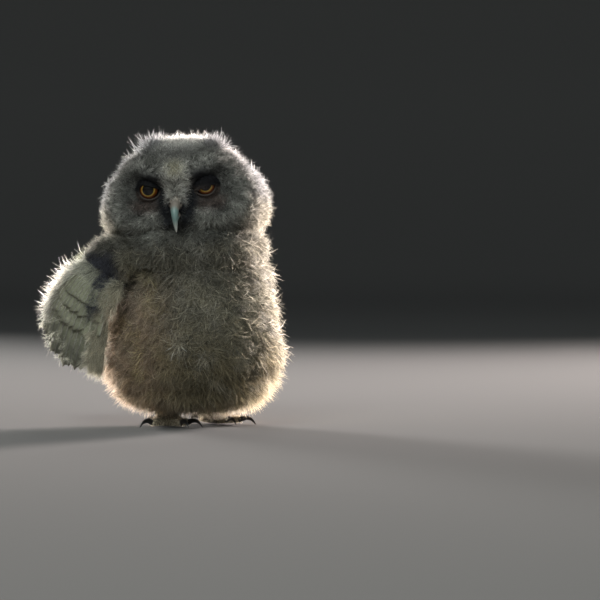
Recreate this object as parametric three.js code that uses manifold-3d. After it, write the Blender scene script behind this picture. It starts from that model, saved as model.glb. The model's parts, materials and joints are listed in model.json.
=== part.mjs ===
// A long-eared owl chick a few weeks old, life size, sitting upright with its head turned to its right.
// Millimetres, +Z up, the floor at z = 0. The breast faces -Y and the bird's left is +X.
import * as THREE from "three";
import { mergeVertices } from "three/addons/utils/BufferGeometryUtils.js";
import Module from "manifold-3d";

const wasm = await Module();
wasm.setup();

// Driving sizes
const GAP = 0.3; // between neighbouring pieces
const HEAD_TURN = 51; // degrees to the bird's right
const HEAD_ROLL = 4.5; // degrees, the bird's left eye up
const HEAD_AT = new THREE.Vector3(-12, 3, 150); // pivot, in the middle of the head
const EYE_SPACING = 35.6;
const EYE_HEIGHT = 5; // above the head's pivot
const EYE_BALL = 8.3; // radius
const EYE_SET = -27.6; // centre of the ball, along the head's own Y
const LID_THICK = 1.2;
const EYE_OPENING = [6.0, 4.9]; // half width and half height between the lids
const NECK_BASE = 104; // height of the neck's parting from the torso
const LEG_SPREAD = 20; // each leg from the middle
const LEG_Y = 11;
const ANKLE_HEIGHT = 11;
const FOOT_SPLAY = 12; // degrees outwards
const TOE_THICK = 4.3; // radius of a feathered toe at its root
const CLAW_LENGTH = 10.5;

// Outlines of the downy coat, from the bottom up: height, front and back along Y, and half width.
const BODY = [
  { z: 15, front: 6, back: 6, half: 0 },
  { z: 16, front: -22, back: 34, half: 30 },
  { z: 20, front: -42, back: 58, half: 48 },
  { z: 31, front: -54.5, back: 75.5, half: 56.8 },
  { z: 52, front: -57, back: 84, half: 57 },
  { z: 72, front: -55, back: 81, half: 56 },
  { z: 87, front: -52, back: 71, half: 55 },
  { z: 98, front: -48, back: 61, half: 53 },
  { z: 109, front: -43.5, back: 53, half: 50.5 },
  { z: 118, front: -39.5, back: 46, half: 47.5 },
  { z: 126, front: -31, back: 36, half: 39 },
  { z: 130, front: -16, back: 20, half: 22 },
  { z: 131, front: 2, back: 2, half: 0 },
];
// The head's heights are from its pivot, and its front is the face, along the head's own -Y.
const HEAD = [
  { z: -36, front: 0, back: 0, half: 0 },
  { z: -35.5, front: -18, back: 22, half: 26 },
  { z: -32, front: -33, back: 38, half: 46 },
  { z: -24, front: -41.5, back: 46, half: 55.5 },
  { z: -15, front: -44, back: 49, half: 56.8 },
  { z: -6, front: -44.5, back: 50, half: 56.5 },
  { z: 3, front: -43.5, back: 50, half: 53.8 },
  { z: 12, front: -41.5, back: 48, half: 48.5 },
  { z: 21.6, front: -36.5, back: 44, half: 42 },
  { z: 31.5, front: -28.5, back: 36, half: 34 },
  { z: 37, front: -19, back: 26, half: 24.5 },
  { z: 40, front: -9, back: 14, half: 13 },
  { z: 40.8, front: 2, back: 2, half: 0 },
];

// Locks and vanes
const LOCK = [
  { along: 0, spread: 0.7 },
  { along: 0.4, spread: 1 },
  { along: 0.75, spread: 0.7 },
];
const LOCK_THICK = 1;
// The ruff's locks stand from angle to angle round each eye, rooted, bent and ended at these shares of
// the disc's half width, and lifted from the face by these amounts.
const RUFF = {
  locks: 13,
  from: -54,
  to: 60,
  reach: [0.96, 1.1, 1.23],
  lift: [-1.6, 1.7, 1.2],
  facing: [2, -1.4, 0],
  width: 8,
  lowest: -26,
};
const TUFT = {
  x: 22,
  z: 32.5,
  locks: 7,
  length: 11,
  width: 3.8,
  spread: 5,
  sunk: 1.5,
  lean: [0.15, 0.1, 1],
  pad: [5, 3.4, 3.4],
  padTurn: -30,
};
const VANE = [
  { along: 0, spread: 0.5 },
  { along: 0.4, spread: 1 },
  { along: 0.88, spread: 0.9 },
  { along: 1, spread: 0.35 },
];
const VANE_STEP = 0.95; // from the face of one vane to the face of the next, across the lap
const VANE_THICK = 0.6;

// Relief of the face, in the head's own frame
const HEAD_POWER = 2.15; // squareness of its level sections
const DISC = { x: 18.5, z: -1, half: 24.5, tall: 25, dish: 8.3, rim: 2.2, rimWidth: 0.17 };
const BRIDGE = { half: 5, flare: 0.3, rise: 4, top: 17, bottom: -8 };
const BROW = { x: 16, z: 14, half: 14, tall: 4.6, slope: 0.3, rise: 7.5 };
const CHEEK = { x: 0, z: -18, half: 17, tall: 8, rise: 2.5 };

const COLOURS = {
  down: 0x9a958b,
  ruff: 0x8d887e,
  wing: 0x6d655a,
  tail: 0x6a6258,
  leg: 0xb3a48a,
  claw: 0x2b2a2b,
  beak: 0x59676a,
  cere: 0x6d6a64,
  iris: 0xe08a1c,
  lid: 0x3a3331,
};

const v = (x, y, z) => new THREE.Vector3(x, y, z);
const lerp = THREE.MathUtils.lerp;
const random = THREE.MathUtils.seededRandom;
const radians = THREE.MathUtils.degToRad;

random(31); // sets the seed of all that varies by chance
const vary = (share) => 1 + share * (2 * random() - 1);

const owl = new THREE.Group();
const head = new THREE.Group();
head.position.copy(HEAD_AT);
head.rotation.set(0, radians(-HEAD_ROLL), radians(-HEAD_TURN), "ZYX");
owl.add(head);
owl.updateMatrixWorld(true);

// Solids

// A closed surface through rings of points. A ring of one point is a pole; a wider end ring is capped.
function loft(rings, backFaces = () => false) {
  const position = [];
  const index = [];
  const starts = [];
  for (const ring of rings) {
    starts.push(position.length / 3);
    for (const p of ring) position.push(p.x, p.y, p.z);
  }
  for (let i = 0; i + 1 < rings.length; i++) {
    const [a, b] = [starts[i], starts[i + 1]];
    const [n, m] = [rings[i].length, rings[i + 1].length];
    for (let j = 0; j < Math.max(n, m); j++) {
      const next = (j + 1) % Math.max(n, m);
      if (n === 1) index.push(a, b + next, b + j);
      else if (m === 1) index.push(a + j, a + next, b);
      else if (backFaces(j)) index.push(a + j, a + next, b + j, a + next, b + next, b + j);
      else index.push(a + j, a + next, b + next, a + j, b + next, b + j);
    }
  }
  const cap = (start, count, flip) => {
    for (let j = 1; j + 1 < count; j++)
      index.push(start, start + (flip ? j + 1 : j), start + (flip ? j : j + 1));
  };
  cap(starts[0], rings[0].length, true);
  cap(starts.at(-1), rings.at(-1).length, false);
  const geometry = new THREE.BufferGeometry();
  geometry.setAttribute("position", new THREE.Float32BufferAttribute(position, 3));
  geometry.setIndex(index);
  return geometry;
}

// A closed geometry as a solid; one that is inside out, as a mirrored one is, has its faces turned.
function solid(geometry, matrix = new THREE.Matrix4()) {
  const bare = geometry.clone().applyMatrix4(matrix);
  bare.deleteAttribute("normal");
  bare.deleteAttribute("uv");
  const merged = mergeVertices(bare, 1e-4);
  const vertProperties = new Float32Array(merged.attributes.position.array);
  const triVerts = new Uint32Array(merged.index.array);
  const made = new wasm.Manifold(new wasm.Mesh({ numProp: 3, vertProperties, triVerts }));
  if (made.volume() > 0) return made;
  for (let i = 0; i < triVerts.length; i += 3)
    [triVerts[i + 1], triVerts[i + 2]] = [triVerts[i + 2], triVerts[i + 1]];
  return new wasm.Manifold(new wasm.Mesh({ numProp: 3, vertProperties, triVerts }));
}

const join = (...solids) => wasm.Manifold.union(solids.flat());
const cut = (body, ...tools) => tools.flat().reduce((left, tool) => left.subtract(tool), body);
const largest = (body) => body.decompose().reduce((a, b) => (a.volume() > b.volume() ? a : b));

// Adds a solid, made in the owl's frame, as a named mesh of a group.
function addPart(group, name, body, colour, roughness = 0.95) {
  const { vertProperties, triVerts, numProp } = largest(body).getMesh();
  const position = new Float32Array((vertProperties.length / numProp) * 3);
  for (let i = 0; i * 3 < position.length; i++)
    position.set(vertProperties.subarray(i * numProp, i * numProp + 3), i * 3);
  const geometry = new THREE.BufferGeometry();
  geometry.setAttribute("position", new THREE.BufferAttribute(position, 3));
  geometry.setIndex(new THREE.BufferAttribute(triVerts, 1));
  geometry.applyMatrix4(group.matrixWorld.clone().invert());
  geometry.computeVertexNormals();
  const material = new THREE.MeshStandardMaterial({ color: colour, roughness, metalness: 0 });
  const mesh = new THREE.Mesh(geometry, material);
  mesh.name = name;
  group.add(mesh);
}

// Flesh: forms built level by level from an outline

// The outline's values at a share of its length, along a smooth curve through its rows.
function outline(rows) {
  const ends = new THREE.CatmullRomCurve3(rows.map((r) => v(r.front, r.back, r.z)));
  const widths = new THREE.CatmullRomCurve3(rows.map((r) => v(r.half, 0, 0)));
  return (share) => {
    const [{ x: front, y: back, z }, { x: half }] = [ends.getPoint(share), widths.getPoint(share)];
    return { front, back, z, half };
  };
}

// A form whose level sections are rounded boxes. Angles crowd towards the front by the share crowd,
// grow pushes the whole surface out, and relief moves a point along Y.
function form(rows, { segments, levels, crowd = 0, power = 2.3, grow = 0, relief = () => 0 }) {
  const at = outline(rows);
  const [low, high] = [rows[0].z, rows.at(-1).z];
  const middle = (low + high) / 2;
  const rings = [];
  for (let i = 0; i <= levels; i++) {
    const { front, back, z, half } = at(i / levels);
    const lifted = z + grow * THREE.MathUtils.clamp((2.6 * (z - middle)) / (high - low), -1, 1);
    const centre = (front + back) / 2;
    if (i === 0 || i === levels) {
      rings.push([v(0, centre, lifted)]);
      continue;
    }
    const ring = [];
    for (let j = 0; j < segments; j++) {
      const even = (2 * Math.PI * j) / segments;
      const angle = even - crowd * Math.sin(even);
      const round = (c) => Math.sign(c) * Math.abs(c) ** (2 / power);
      const x = (half + grow) * round(Math.sin(angle));
      const y = centre - ((back - front) / 2 + grow) * round(Math.cos(angle));
      ring.push(v(x, y + relief(x, z, Math.cos(angle)), lifted));
    }
    rings.push(ring);
  }
  return loft(rings);
}

const bump = (distance) => Math.exp(-distance * distance);
const smooth = (low, high, value) => THREE.MathUtils.smoothstep(value, low, high);

// How far the face stands behind (+) or before (-) the head's plain form.
function faceRelief(x, z, facing) {
  if (facing <= 0) return 0;
  const side = Math.abs(x);
  const r = Math.hypot((side - DISC.x) / DISC.half, (z - DISC.z) / DISC.tall);
  const dish = DISC.dish * (1 - smooth(0.25, 1, r));
  const rim = DISC.rim * bump((r - 1.05) / DISC.rimWidth);
  const bridgeHalf = BRIDGE.half + BRIDGE.flare * Math.max(0, z - EYE_HEIGHT);
  const aboveBill = smooth(BRIDGE.bottom - 4, BRIDGE.bottom + 4, z);
  const belowCrown = 1 - smooth(BRIDGE.top, BRIDGE.top + 8, z);
  const bridge = BRIDGE.rise * bump(side / bridgeHalf) * aboveBill * belowCrown;
  const browLine = BROW.z + BROW.slope * (side - BROW.x);
  const brow = BROW.rise * bump((side - BROW.x) / BROW.half) * bump((z - browLine) / BROW.tall);
  const cheek = CHEEK.rise * bump(side / CHEEK.half) * bump((z - CHEEK.z) / CHEEK.tall);
  return smooth(0, 0.35, facing) * (dish - rim - bridge - brow - cheek);
}

// The outline's values at a height.
function outlineAt(rows, height) {
  const at = outline(rows);
  let [low, high] = [0, 1];
  while (high - low > 1e-4) {
    const share = (low + high) / 2;
    if (at(share).z < height) low = share;
    else high = share;
  }
  return at(low);
}

// The place on the face at x and z, in the head's frame.
function facePlace(x, z) {
  const { front, back, half } = outlineAt(HEAD, z);
  const facing = Math.sqrt(Math.max(0, 1 - (Math.abs(x) / half) ** HEAD_POWER));
  const depth = ((back - front) / 2) * facing ** (2 / HEAD_POWER);
  return v(x, (front + back) / 2 - depth + faceRelief(x, z, facing), z);
}

// The way out of the face there.
function faceOut(x, z) {
  const across = facePlace(x + 1, z).sub(facePlace(x - 1, z));
  return across.cross(facePlace(x, z + 1).sub(facePlace(x, z - 1))).normalize();
}

const bodyForm = (grow) => solid(form(BODY, { segments: 36, levels: 26, grow }));
const headForm = (grow) =>
  solid(
    form(HEAD, { segments: 44, levels: 26, crowd: 0.5, power: HEAD_POWER, grow, relief: faceRelief }),
    head.matrixWorld,
  );
// The head's plain outline, with room for its faces, for what only meets its underside.
const headRoom = solid(
  form(HEAD, { segments: 24, levels: 14, power: HEAD_POWER, grow: GAP + 1 }),
  head.matrixWorld,
);
const slab = (low, high) =>
  solid(new THREE.BoxGeometry(400, 400, high - low).translate(0, 0, (low + high) / 2));
const [bodyGrown, headGrown] = [bodyForm(GAP), headForm(GAP)];
const flesh = [bodyGrown, headGrown];

// A tapered tube of oval section along points, ending in a point.
function horn(points, width, height, { steps = 9, sides = 10, bluntness = 0.8, across = v(1, 0, 0) }) {
  const curve = new THREE.CatmullRomCurve3(points);
  const rings = [];
  for (let i = 0; i < steps; i++) {
    const share = i / steps;
    const taper = (1 - share ** 1.6) ** bluntness;
    const along = curve.getTangent(share);
    const side = across.clone().addScaledVector(along, -across.dot(along)).normalize();
    const lift = side.clone().cross(along);
    const centre = curve.getPoint(share);
    const ring = [];
    for (let j = 0; j < sides; j++) {
      const angle = (2 * Math.PI * j) / sides;
      ring.push(
        centre
          .clone()
          .addScaledVector(side, width * taper * Math.cos(angle))
          .addScaledVector(lift, height * taper * Math.sin(angle)),
      );
    }
    rings.push(ring);
  }
  rings.push([points.at(-1)]);
  return loft(rings);
}

// An egg-shaped ball at a point, turned about X.
function ball(centre, radii, turn = 0, segments = 16, levels = 11) {
  const shape = new THREE.SphereGeometry(1, segments, levels).rotateX(Math.PI / 2);
  const matrix = new THREE.Matrix4()
    .makeRotationX(radians(turn))
    .premultiply(new THREE.Matrix4().makeTranslation(centre))
    .multiply(new THREE.Matrix4().makeScale(radii.x, radii.y, radii.z));
  return shape.applyMatrix4(matrix);
}

// A flat lock through points, tapering to its tip. Its face is turned towards out.
function lock(points, width, thick, out) {
  const curve = new THREE.CatmullRomCurve3(points);
  const rings = LOCK.map(({ along, spread }) => {
    const ahead = curve.getTangent(along);
    const side = ahead.clone().cross(out).setLength((width * spread) / 2);
    const lift = side.clone().cross(ahead).setLength(thick / 2);
    const centre = curve.getPoint(along);
    const corner = (a, b) => centre.clone().addScaledVector(side, a).addScaledVector(lift, b);
    return [corner(-1, 1), corner(1, 1), corner(1, -1), corner(-1, -1)];
  });
  return loft([...rings, [points.at(-1)]], (j) => j === 2);
}

// Head: eyes, lids, beak and tufts, all in the head's own frame

const inHead = (geometry) => solid(geometry, head.matrixWorld);
const eyeCentre = (side) => v((side * EYE_SPACING) / 2, EYE_SET, EYE_HEIGHT);
const eyeBall = (side, radius) => inHead(ball(eyeCentre(side), v(radius, radius, radius)));

// The lids are one shell in front of the ball, open in an oval that sits low, so the brow's lid covers more.
function lidShell(side, outer, inner) {
  const centre = eyeCentre(side);
  const front = new THREE.BoxGeometry(40, 20, 40).translate(centre.x, centre.y - 10 - 1.5, centre.z);
  return eyeBall(side, outer).subtract(eyeBall(side, inner)).intersect(inHead(front));
}
function lids(side) {
  const opening = new THREE.CylinderGeometry(1, 1, 40, 18).scale(EYE_OPENING[0], 1, EYE_OPENING[1]);
  const { x, y, z } = eyeCentre(side);
  const shell = lidShell(side, EYE_BALL + LID_THICK, EYE_BALL + GAP);
  return shell.subtract(inHead(opening.translate(x - side * 0.5, y - 20, z - 1.1)));
}

// Half width and half height are those at the root.
const BEAK_UPPER = {
  points: [v(0, -36, -7), v(0, -46, -6), v(0, -51.8, -8.7), v(0, -54.1, -15), v(0, -51.9, -24)],
  halfWidth: 3.7,
  halfHeight: 4.4,
};
const BEAK_LOWER = {
  points: [v(0, -38, -12.5), v(0, -45.5, -13), v(0, -49, -15), v(0, -50.2, -18)],
  halfWidth: 2.9,
  halfHeight: 2.3,
};
const CERE = { at: v(0, -43.8, -5), radii: v(4.7, 6, 4.8), turn: 20 };
const NOSTRIL = { x: 4.3, y: -47.4, z: -5.5, radii: v(1.2, 1.6, 1.1) };
const upperBeak = (grow) => {
  const { points, halfWidth, halfHeight } = BEAK_UPPER;
  return inHead(horn(points, halfWidth + grow, halfHeight + grow, { steps: 10, sides: 12, bluntness: 0.62 }));
};
const lowerBeak = () => {
  const { points, halfWidth, halfHeight } = BEAK_LOWER;
  return inHead(horn(points, halfWidth, halfHeight, { steps: 6, bluntness: 0.6 }));
};
const cereShape = () => inHead(ball(CERE.at, CERE.radii, CERE.turn, 16, 10));

// A nostril is an oval pit on each side of the cere.
const nostril = (side) => inHead(ball(v(side * NOSTRIL.x, NOSTRIL.y, NOSTRIL.z), NOSTRIL.radii, 0, 10, 8));

function buildHead() {
  const beak = cut(upperBeak(0), headGrown);
  const cere = cut(cereShape(), headGrown, upperBeak(GAP), nostril(1), nostril(-1));
  const sockets = [1, -1].flatMap((side) => [
    eyeBall(side, EYE_BALL + GAP),
    lidShell(side, EYE_BALL + LID_THICK + GAP, EYE_BALL),
  ]);
  addPart(head, "head", cut(join(headForm(0), ruff(1), ruff(-1)), sockets), COLOURS.down);
  addPart(head, "cere", cere, COLOURS.cere, 0.6);
  addPart(head, "beak_upper", beak, COLOURS.beak, 0.4);
  addPart(head, "beak_lower", cut(lowerBeak(), headGrown, upperBeak(GAP)), COLOURS.beak, 0.4);
  for (const [side, word] of [[1, "left"], [-1, "right"]]) {
    addPart(head, "eye_" + word, eyeBall(side, EYE_BALL), COLOURS.iris, 0.1);
    addPart(head, "lids_" + word, lids(side), COLOURS.lid, 0.8);
    addPart(head, "ear_tuft_" + word, earTuft(side), COLOURS.down);
  }
}

// Ear tuft: a cluster of short locks on a small downy root.
function earTuft(side) {
  const root = facePlace(side * TUFT.x, TUFT.z);
  const out = faceOut(side * TUFT.x, TUFT.z);
  const [aside, back, rise] = TUFT.lean;
  const up = v(side * aside, back, rise).normalize();
  const locks = Array.from({ length: TUFT.locks }, (_, i) => {
    const angle = (i / TUFT.locks) * 2 * Math.PI;
    const ring = (TUFT.spread / 2) * (i % 2 ? 1 : 0.45);
    const away = v(Math.cos(angle), -0.5 * Math.sin(angle), 0).multiplyScalar(ring);
    const reach = TUFT.length * vary(0.22);
    const start = root.clone().add(away).addScaledVector(out, -TUFT.sunk);
    const middle = start.clone().addScaledVector(up, reach * 0.55).addScaledVector(away, 0.4);
    const tip = start.clone().addScaledVector(up, reach).addScaledVector(away, 1.3);
    return inHead(lock([start, middle, tip], TUFT.width, LOCK_THICK, out));
  });
  const pad = inHead(ball(root, v(...TUFT.pad), TUFT.padTurn, 12, 8));
  return cut(join(pad, locks), headGrown);
}

// The ruff: locks round the outer edge of each half of the face, lying back from the eye.
function ruff(side) {
  return Array.from({ length: RUFF.locks }, (_, i) => {
    const angle = radians(lerp(RUFF.from, RUFF.to, i / (RUFF.locks - 1)) * vary(0.02));
    const stretch = vary(0.05);
    const points = RUFF.reach.map((reach, j) => {
      const r = j === 2 ? reach * stretch : reach;
      const x = side * (DISC.x + DISC.half * r * Math.cos(angle));
      const z = Math.max(DISC.z + DISC.tall * r * Math.sin(angle), RUFF.lowest - j);
      return facePlace(x, z).addScaledVector(faceOut(x, z), RUFF.lift[j]);
    });
    const [aside, ahead, up] = RUFF.facing;
    return inHead(lock(points, RUFF.width, LOCK_THICK, v(side * aside, ahead, up).normalize()));
  });
}

// Wings and tail

const WING = {
  vanes: 9,
  roots: [v(0, 14, 94), v(0, 44, 106)],
  tips: [v(0, 43, 38), v(0, 104, 60)],
  round: 0.14, // how much longer the middle vanes are
  bow: 5,
};
const WING_TIERS = [
  { vanes: 9, from: 0, length: 1, lift: 0 },
  { vanes: 9, from: -0.3, length: 0.66, lift: 2.5 },
  { vanes: 7, from: 0.8, length: 0.46, lift: 5 },
];
const WING_HALF = 0.85; // half a vane's width, in steps from vane to vane
const WING_ROOT = 7; // how deep the roots are sunk
// The wing lies over a surface this far out from the middle, which falls in towards the back and,
// by its curve, above and below its widest height.
const WING_OVER = { out: 63.5, bendFrom: 20, bendOver: 80, bend: 15, widest: 75, curve: 0.0012 };
const SHOULDER = { x: 52.5, y: 36, z: 102, radii: v(12.5, 34, 21), turn: -30 };
// half is half a feather's width in steps, and pair that of the middle two.
const TAIL = {
  vanes: 12,
  half: 2,
  pair: 1.2,
  core: [v(0, 66, 56), v(0, 80, 51), v(0, 92, 46)],
  root: { half: 7, y: 78, z: 51, droop: 2 },
  tip: { half: 15.5, y: 118, z: 38, droop: 4, shorter: 7 },
};

// How far out the wing lies at a place on the bird's side.
function wingReach(y, z) {
  const bent = WING_OVER.bend * (Math.max(0, y - WING_OVER.bendFrom) / WING_OVER.bendOver) ** 2;
  return WING_OVER.out - bent - WING_OVER.curve * (z - WING_OVER.widest) ** 2;
}

// A place on the wing: q counts vanes from the front edge, t runs from root to tip, out lifts it.
function wingPlace(side, q, t, out) {
  const share = q / (WING.vanes - 1);
  const along = t * (1 + WING.round * Math.sin(Math.PI * THREE.MathUtils.clamp(share, 0, 1)));
  const root = WING.roots[0].clone().lerp(WING.roots[1], share);
  const { y, z } = root.lerp(WING.tips[0].clone().lerp(WING.tips[1], share), along);
  const lifted = z + WING.bow * 4 * t * (1 - t);
  return v(side * (wingReach(y, lifted) + out), y, lifted);
}

// A place on the tail, counted and lifted alike, from the bird's right to its left.
function tailPlace(q, t, out) {
  const aside = (2 * q) / (TAIL.vanes - 1) - 1;
  const edge = Math.abs(aside);
  const { root, tip } = TAIL;
  const start = v(aside * root.half, root.y, root.z - root.droop * edge);
  const end = v(aside * tip.half, tip.y - tip.shorter * edge, tip.z - tip.droop * edge);
  return start.lerp(end, t).add(v(0, 0, out));
}

const shoulder = (side) =>
  solid(ball(v(side * SHOULDER.x, SHOULDER.y, SHOULDER.z), SHOULDER.radii, SHOULDER.turn, 20, 12));

// One feather: a thin plate along a fan of places, from the edge at q = low to the edge at q = high.
// It tips about its own line, so that each lies over the next and none cross.
function vane(place, index, low, high, { length = 1, lift = 0, tip = VANE_STEP, sunk = 0 }) {
  const rings = VANE.map(({ along, spread }) => {
    const t = along * length;
    const depth = sunk * (1 - smooth(0, 0.22, t));
    const corner = (edge, face) => {
      const aside = edge * spread;
      return place(index + aside, t, lift - depth - aside * tip + (face * VANE_THICK) / 2);
    };
    return [corner(low, 1), corner(high, 1), corner(high, -1), corner(low, -1)];
  });
  return solid(loft(rings, (j) => j === 2));
}

// The wing: a downy shoulder, and the growing flight feathers under two tiers of coverts.
function wing(side) {
  const place = (q, t, out) => wingPlace(side, q, t, out);
  const vanes = WING_TIERS.flatMap(({ vanes, from, length, lift }) =>
    Array.from({ length: vanes }, (_, i) =>
      vane(place, from + i, -WING_HALF, WING_HALF, { length: length * vary(0.035), lift, sunk: WING_ROOT }),
    ),
  );
  return cut(join(shoulder(side), vanes), flesh);
}

// The tail: six feathers on each side lap outwards from under the middle pair, which lie flat.
function tail() {
  const core = solid(horn(TAIL.core, 11, 6, { bluntness: 0.4 }));
  const middle = (TAIL.vanes - 1) / 2;
  const vanes = Array.from({ length: TAIL.vanes }, (_, i) => {
    const inner = Math.min(TAIL.half, Math.abs(i - middle) - 0.1);
    if (inner < 1)
      return vane(tailPlace, i, -TAIL.pair, TAIL.pair, { lift: (i < middle ? 1 : 2) * VANE_STEP, tip: 0 });
    const [low, high] = i < middle ? [-TAIL.half, inner] : [-inner, TAIL.half];
    const tip = Math.sign(middle - i) * VANE_STEP;
    return vane(tailPlace, i, low, high, { length: vary(0.02), tip });
  });
  return cut(join(core, vanes), flesh);
}

// Legs and feet

// A downy leg, from the ankle up into the body.
function leg(side) {
  const ankle = v(side * LEG_SPREAD, LEG_Y, ANKLE_HEIGHT);
  const top = v(side * LEG_SPREAD, LEG_Y + LEG.back, LEG.top);
  const rings = [0, 0.5, 1].map((share) => {
    const centre = ankle.clone().lerp(top, share);
    const radius = lerp(LEG.ankle, LEG.thigh, share);
    return Array.from({ length: LEG.sides }, (_, j) => {
      const angle = (Math.PI * 2 * j) / LEG.sides;
      return v(centre.x + radius * Math.cos(angle), centre.y + radius * Math.sin(angle), centre.z);
    });
  });
  return solid(loft(rings));
}

// Radii at the ankle and at the top, and how far the top stands back from the ankle
const LEG = { ankle: 8.6, thigh: 13.5, top: 42, back: 4, sides: 16 };
const INSTEP = { z: 5.5, radii: v(8.6, 9, 7) };
// Along a toe: where each section stands, and how thick it is, in shares of length and thickness
const TOE = [
  { along: 0, thick: 1.15 },
  { along: 0.35, thick: 1.05 },
  { along: 0.8, thick: 0.95 },
  { along: 1, thick: 0.7 },
];
const TOE_SIDES = 10;
// The claw's path is given as share of its length past the toe's end, and height.
const CLAW = { path: [[-0.19, 3.2], [0.19, 4.4], [0.65, 3.6], [1, 0.4]], halfWidth: 1.7, halfHeight: 1.9 };
// Direction in degrees from straight ahead, outwards; length to the claw's root
const TOES = [
  { name: "inner", turn: -22, length: 18 },
  { name: "middle", turn: 6, length: 22 },
  { name: "outer", turn: 72, length: 17 },
  { name: "hind", turn: 168, length: 12 },
];

// The way a toe points, the way across it, and the floor's point under the ankle that it starts from.
function toeFrame(side, turn) {
  const angle = radians(turn + FOOT_SPLAY);
  const ahead = v(side * Math.sin(angle), -Math.cos(angle), 0);
  return { ahead, across: v(-ahead.y, ahead.x, 0), ankle: v(side * LEG_SPREAD, LEG_Y, 0) };
}

// A feathered toe rests flat on the floor, so its underside is level there.
function toe(side, { turn, length }, grow = 0) {
  const { ahead, across, ankle } = toeFrame(side, turn);
  const rings = TOE.map(({ along, thick }) => {
    const radius = TOE_THICK * thick + grow;
    const centre = ankle.clone().addScaledVector(ahead, length * along).setZ(TOE_THICK * 0.8);
    return Array.from({ length: TOE_SIDES }, (_, j) => {
      const angle = (Math.PI * 2 * j) / TOE_SIDES;
      const p = centre.clone().addScaledVector(across, radius * Math.cos(angle));
      return p.setZ(Math.max(centre.z + radius * Math.sin(angle), 0));
    });
  });
  return solid(loft(rings));
}

function claw(side, { turn, length }) {
  const { ahead, across, ankle } = toeFrame(side, turn);
  const point = (reach, z) => ankle.clone().addScaledVector(ahead, length + reach).setZ(z);
  const path = CLAW.path.map(([share, z]) => point(share * CLAW_LENGTH, z));
  return solid(horn(path, CLAW.halfWidth, CLAW.halfHeight, { steps: 6, sides: 7, across, bluntness: 0.7 }));
}

function buildLeg(side, word) {
  const instep = solid(ball(v(side * LEG_SPREAD, LEG_Y, INSTEP.z), INSTEP.radii, 0, 16, 10));
  const foot = join(instep, TOES.map((t) => toe(side, t))).intersect(slab(0, ANKLE_HEIGHT - GAP));
  addPart(owl, "leg_" + word, cut(leg(side), flesh), COLOURS.leg);
  addPart(owl, "foot_" + word, foot, COLOURS.leg);
  for (const t of TOES) {
    const nail = cut(claw(side, t), toe(side, t, GAP));
    addPart(owl, "claw_" + word + "_" + t.name, nail, COLOURS.claw, 0.35);
  }
}

addPart(owl, "torso", bodyForm(0).intersect(slab(0, NECK_BASE - GAP)), COLOURS.down);
addPart(owl, "neck", cut(bodyForm(0).intersect(slab(NECK_BASE, 200)), headRoom), COLOURS.ruff);
buildHead();
for (const [side, word] of [[1, "left"], [-1, "right"]]) {
  addPart(owl, "wing_" + word, wing(side), COLOURS.wing);
  buildLeg(side, word);
}
addPart(owl, "tail", tail(), COLOURS.tail);

// The part's origin is the middle of its base.
const reach = new THREE.Box3().setFromObject(owl, true);
const centre = reach.getCenter(v(0, 0, 0));
owl.position.set(-centre.x, -centre.y, -reach.min.z);

export default owl;
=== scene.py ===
"""A long-eared owl chick in grey down, life size, standing upright with its head turned.

Shapes are worked out in millimetres along the bird's own axes, breast to -Y and its left to +X,
and put into the frame in metres.
"""

import json
import math

import bpy
import numpy as np
from mathutils import Matrix, Vector

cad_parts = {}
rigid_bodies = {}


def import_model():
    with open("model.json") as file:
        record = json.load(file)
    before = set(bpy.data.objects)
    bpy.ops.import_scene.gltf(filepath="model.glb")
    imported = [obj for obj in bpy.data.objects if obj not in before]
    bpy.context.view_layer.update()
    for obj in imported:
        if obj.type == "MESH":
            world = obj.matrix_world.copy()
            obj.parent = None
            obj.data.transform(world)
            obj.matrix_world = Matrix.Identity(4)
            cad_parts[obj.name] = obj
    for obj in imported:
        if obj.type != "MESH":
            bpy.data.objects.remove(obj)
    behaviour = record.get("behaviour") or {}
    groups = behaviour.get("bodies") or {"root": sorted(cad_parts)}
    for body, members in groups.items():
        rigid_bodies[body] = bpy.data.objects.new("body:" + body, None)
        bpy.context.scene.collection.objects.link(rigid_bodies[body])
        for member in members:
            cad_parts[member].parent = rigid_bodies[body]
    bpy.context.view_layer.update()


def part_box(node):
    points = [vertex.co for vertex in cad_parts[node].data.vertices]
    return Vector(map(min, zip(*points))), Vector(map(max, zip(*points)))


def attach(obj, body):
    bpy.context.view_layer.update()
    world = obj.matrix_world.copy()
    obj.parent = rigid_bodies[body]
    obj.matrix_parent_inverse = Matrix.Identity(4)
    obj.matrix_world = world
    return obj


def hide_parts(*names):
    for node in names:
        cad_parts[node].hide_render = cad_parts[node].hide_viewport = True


bl_info = {
    "name": "Owl Chick in Down",
    "version": (1, 0, 0),
    "blender": (4, 5, 0),
    "location": "View3D > Sidebar > Owl Chick",
    "description": "Builds a downy long-eared owl chick over its packed solids",
    "category": "Object",
}

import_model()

# Outlines of the coat, from the bottom up: height, front and back along Y, and half width
BODY = [
    (15, 6, 6, 0),
    (16, -22, 34, 30),
    (20, -42, 58, 48),
    (31, -54.5, 75.5, 56.8),
    (52, -57, 84, 57),
    (72, -55, 81, 56),
    (87, -52, 71, 55),
    (98, -48, 61, 53),
    (109, -43.5, 53, 50.5),
    (118, -39.5, 46, 47.5),
    (126, -31, 36, 39),
    (130, -16, 20, 22),
    (131, 2, 2, 0),
]
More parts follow.
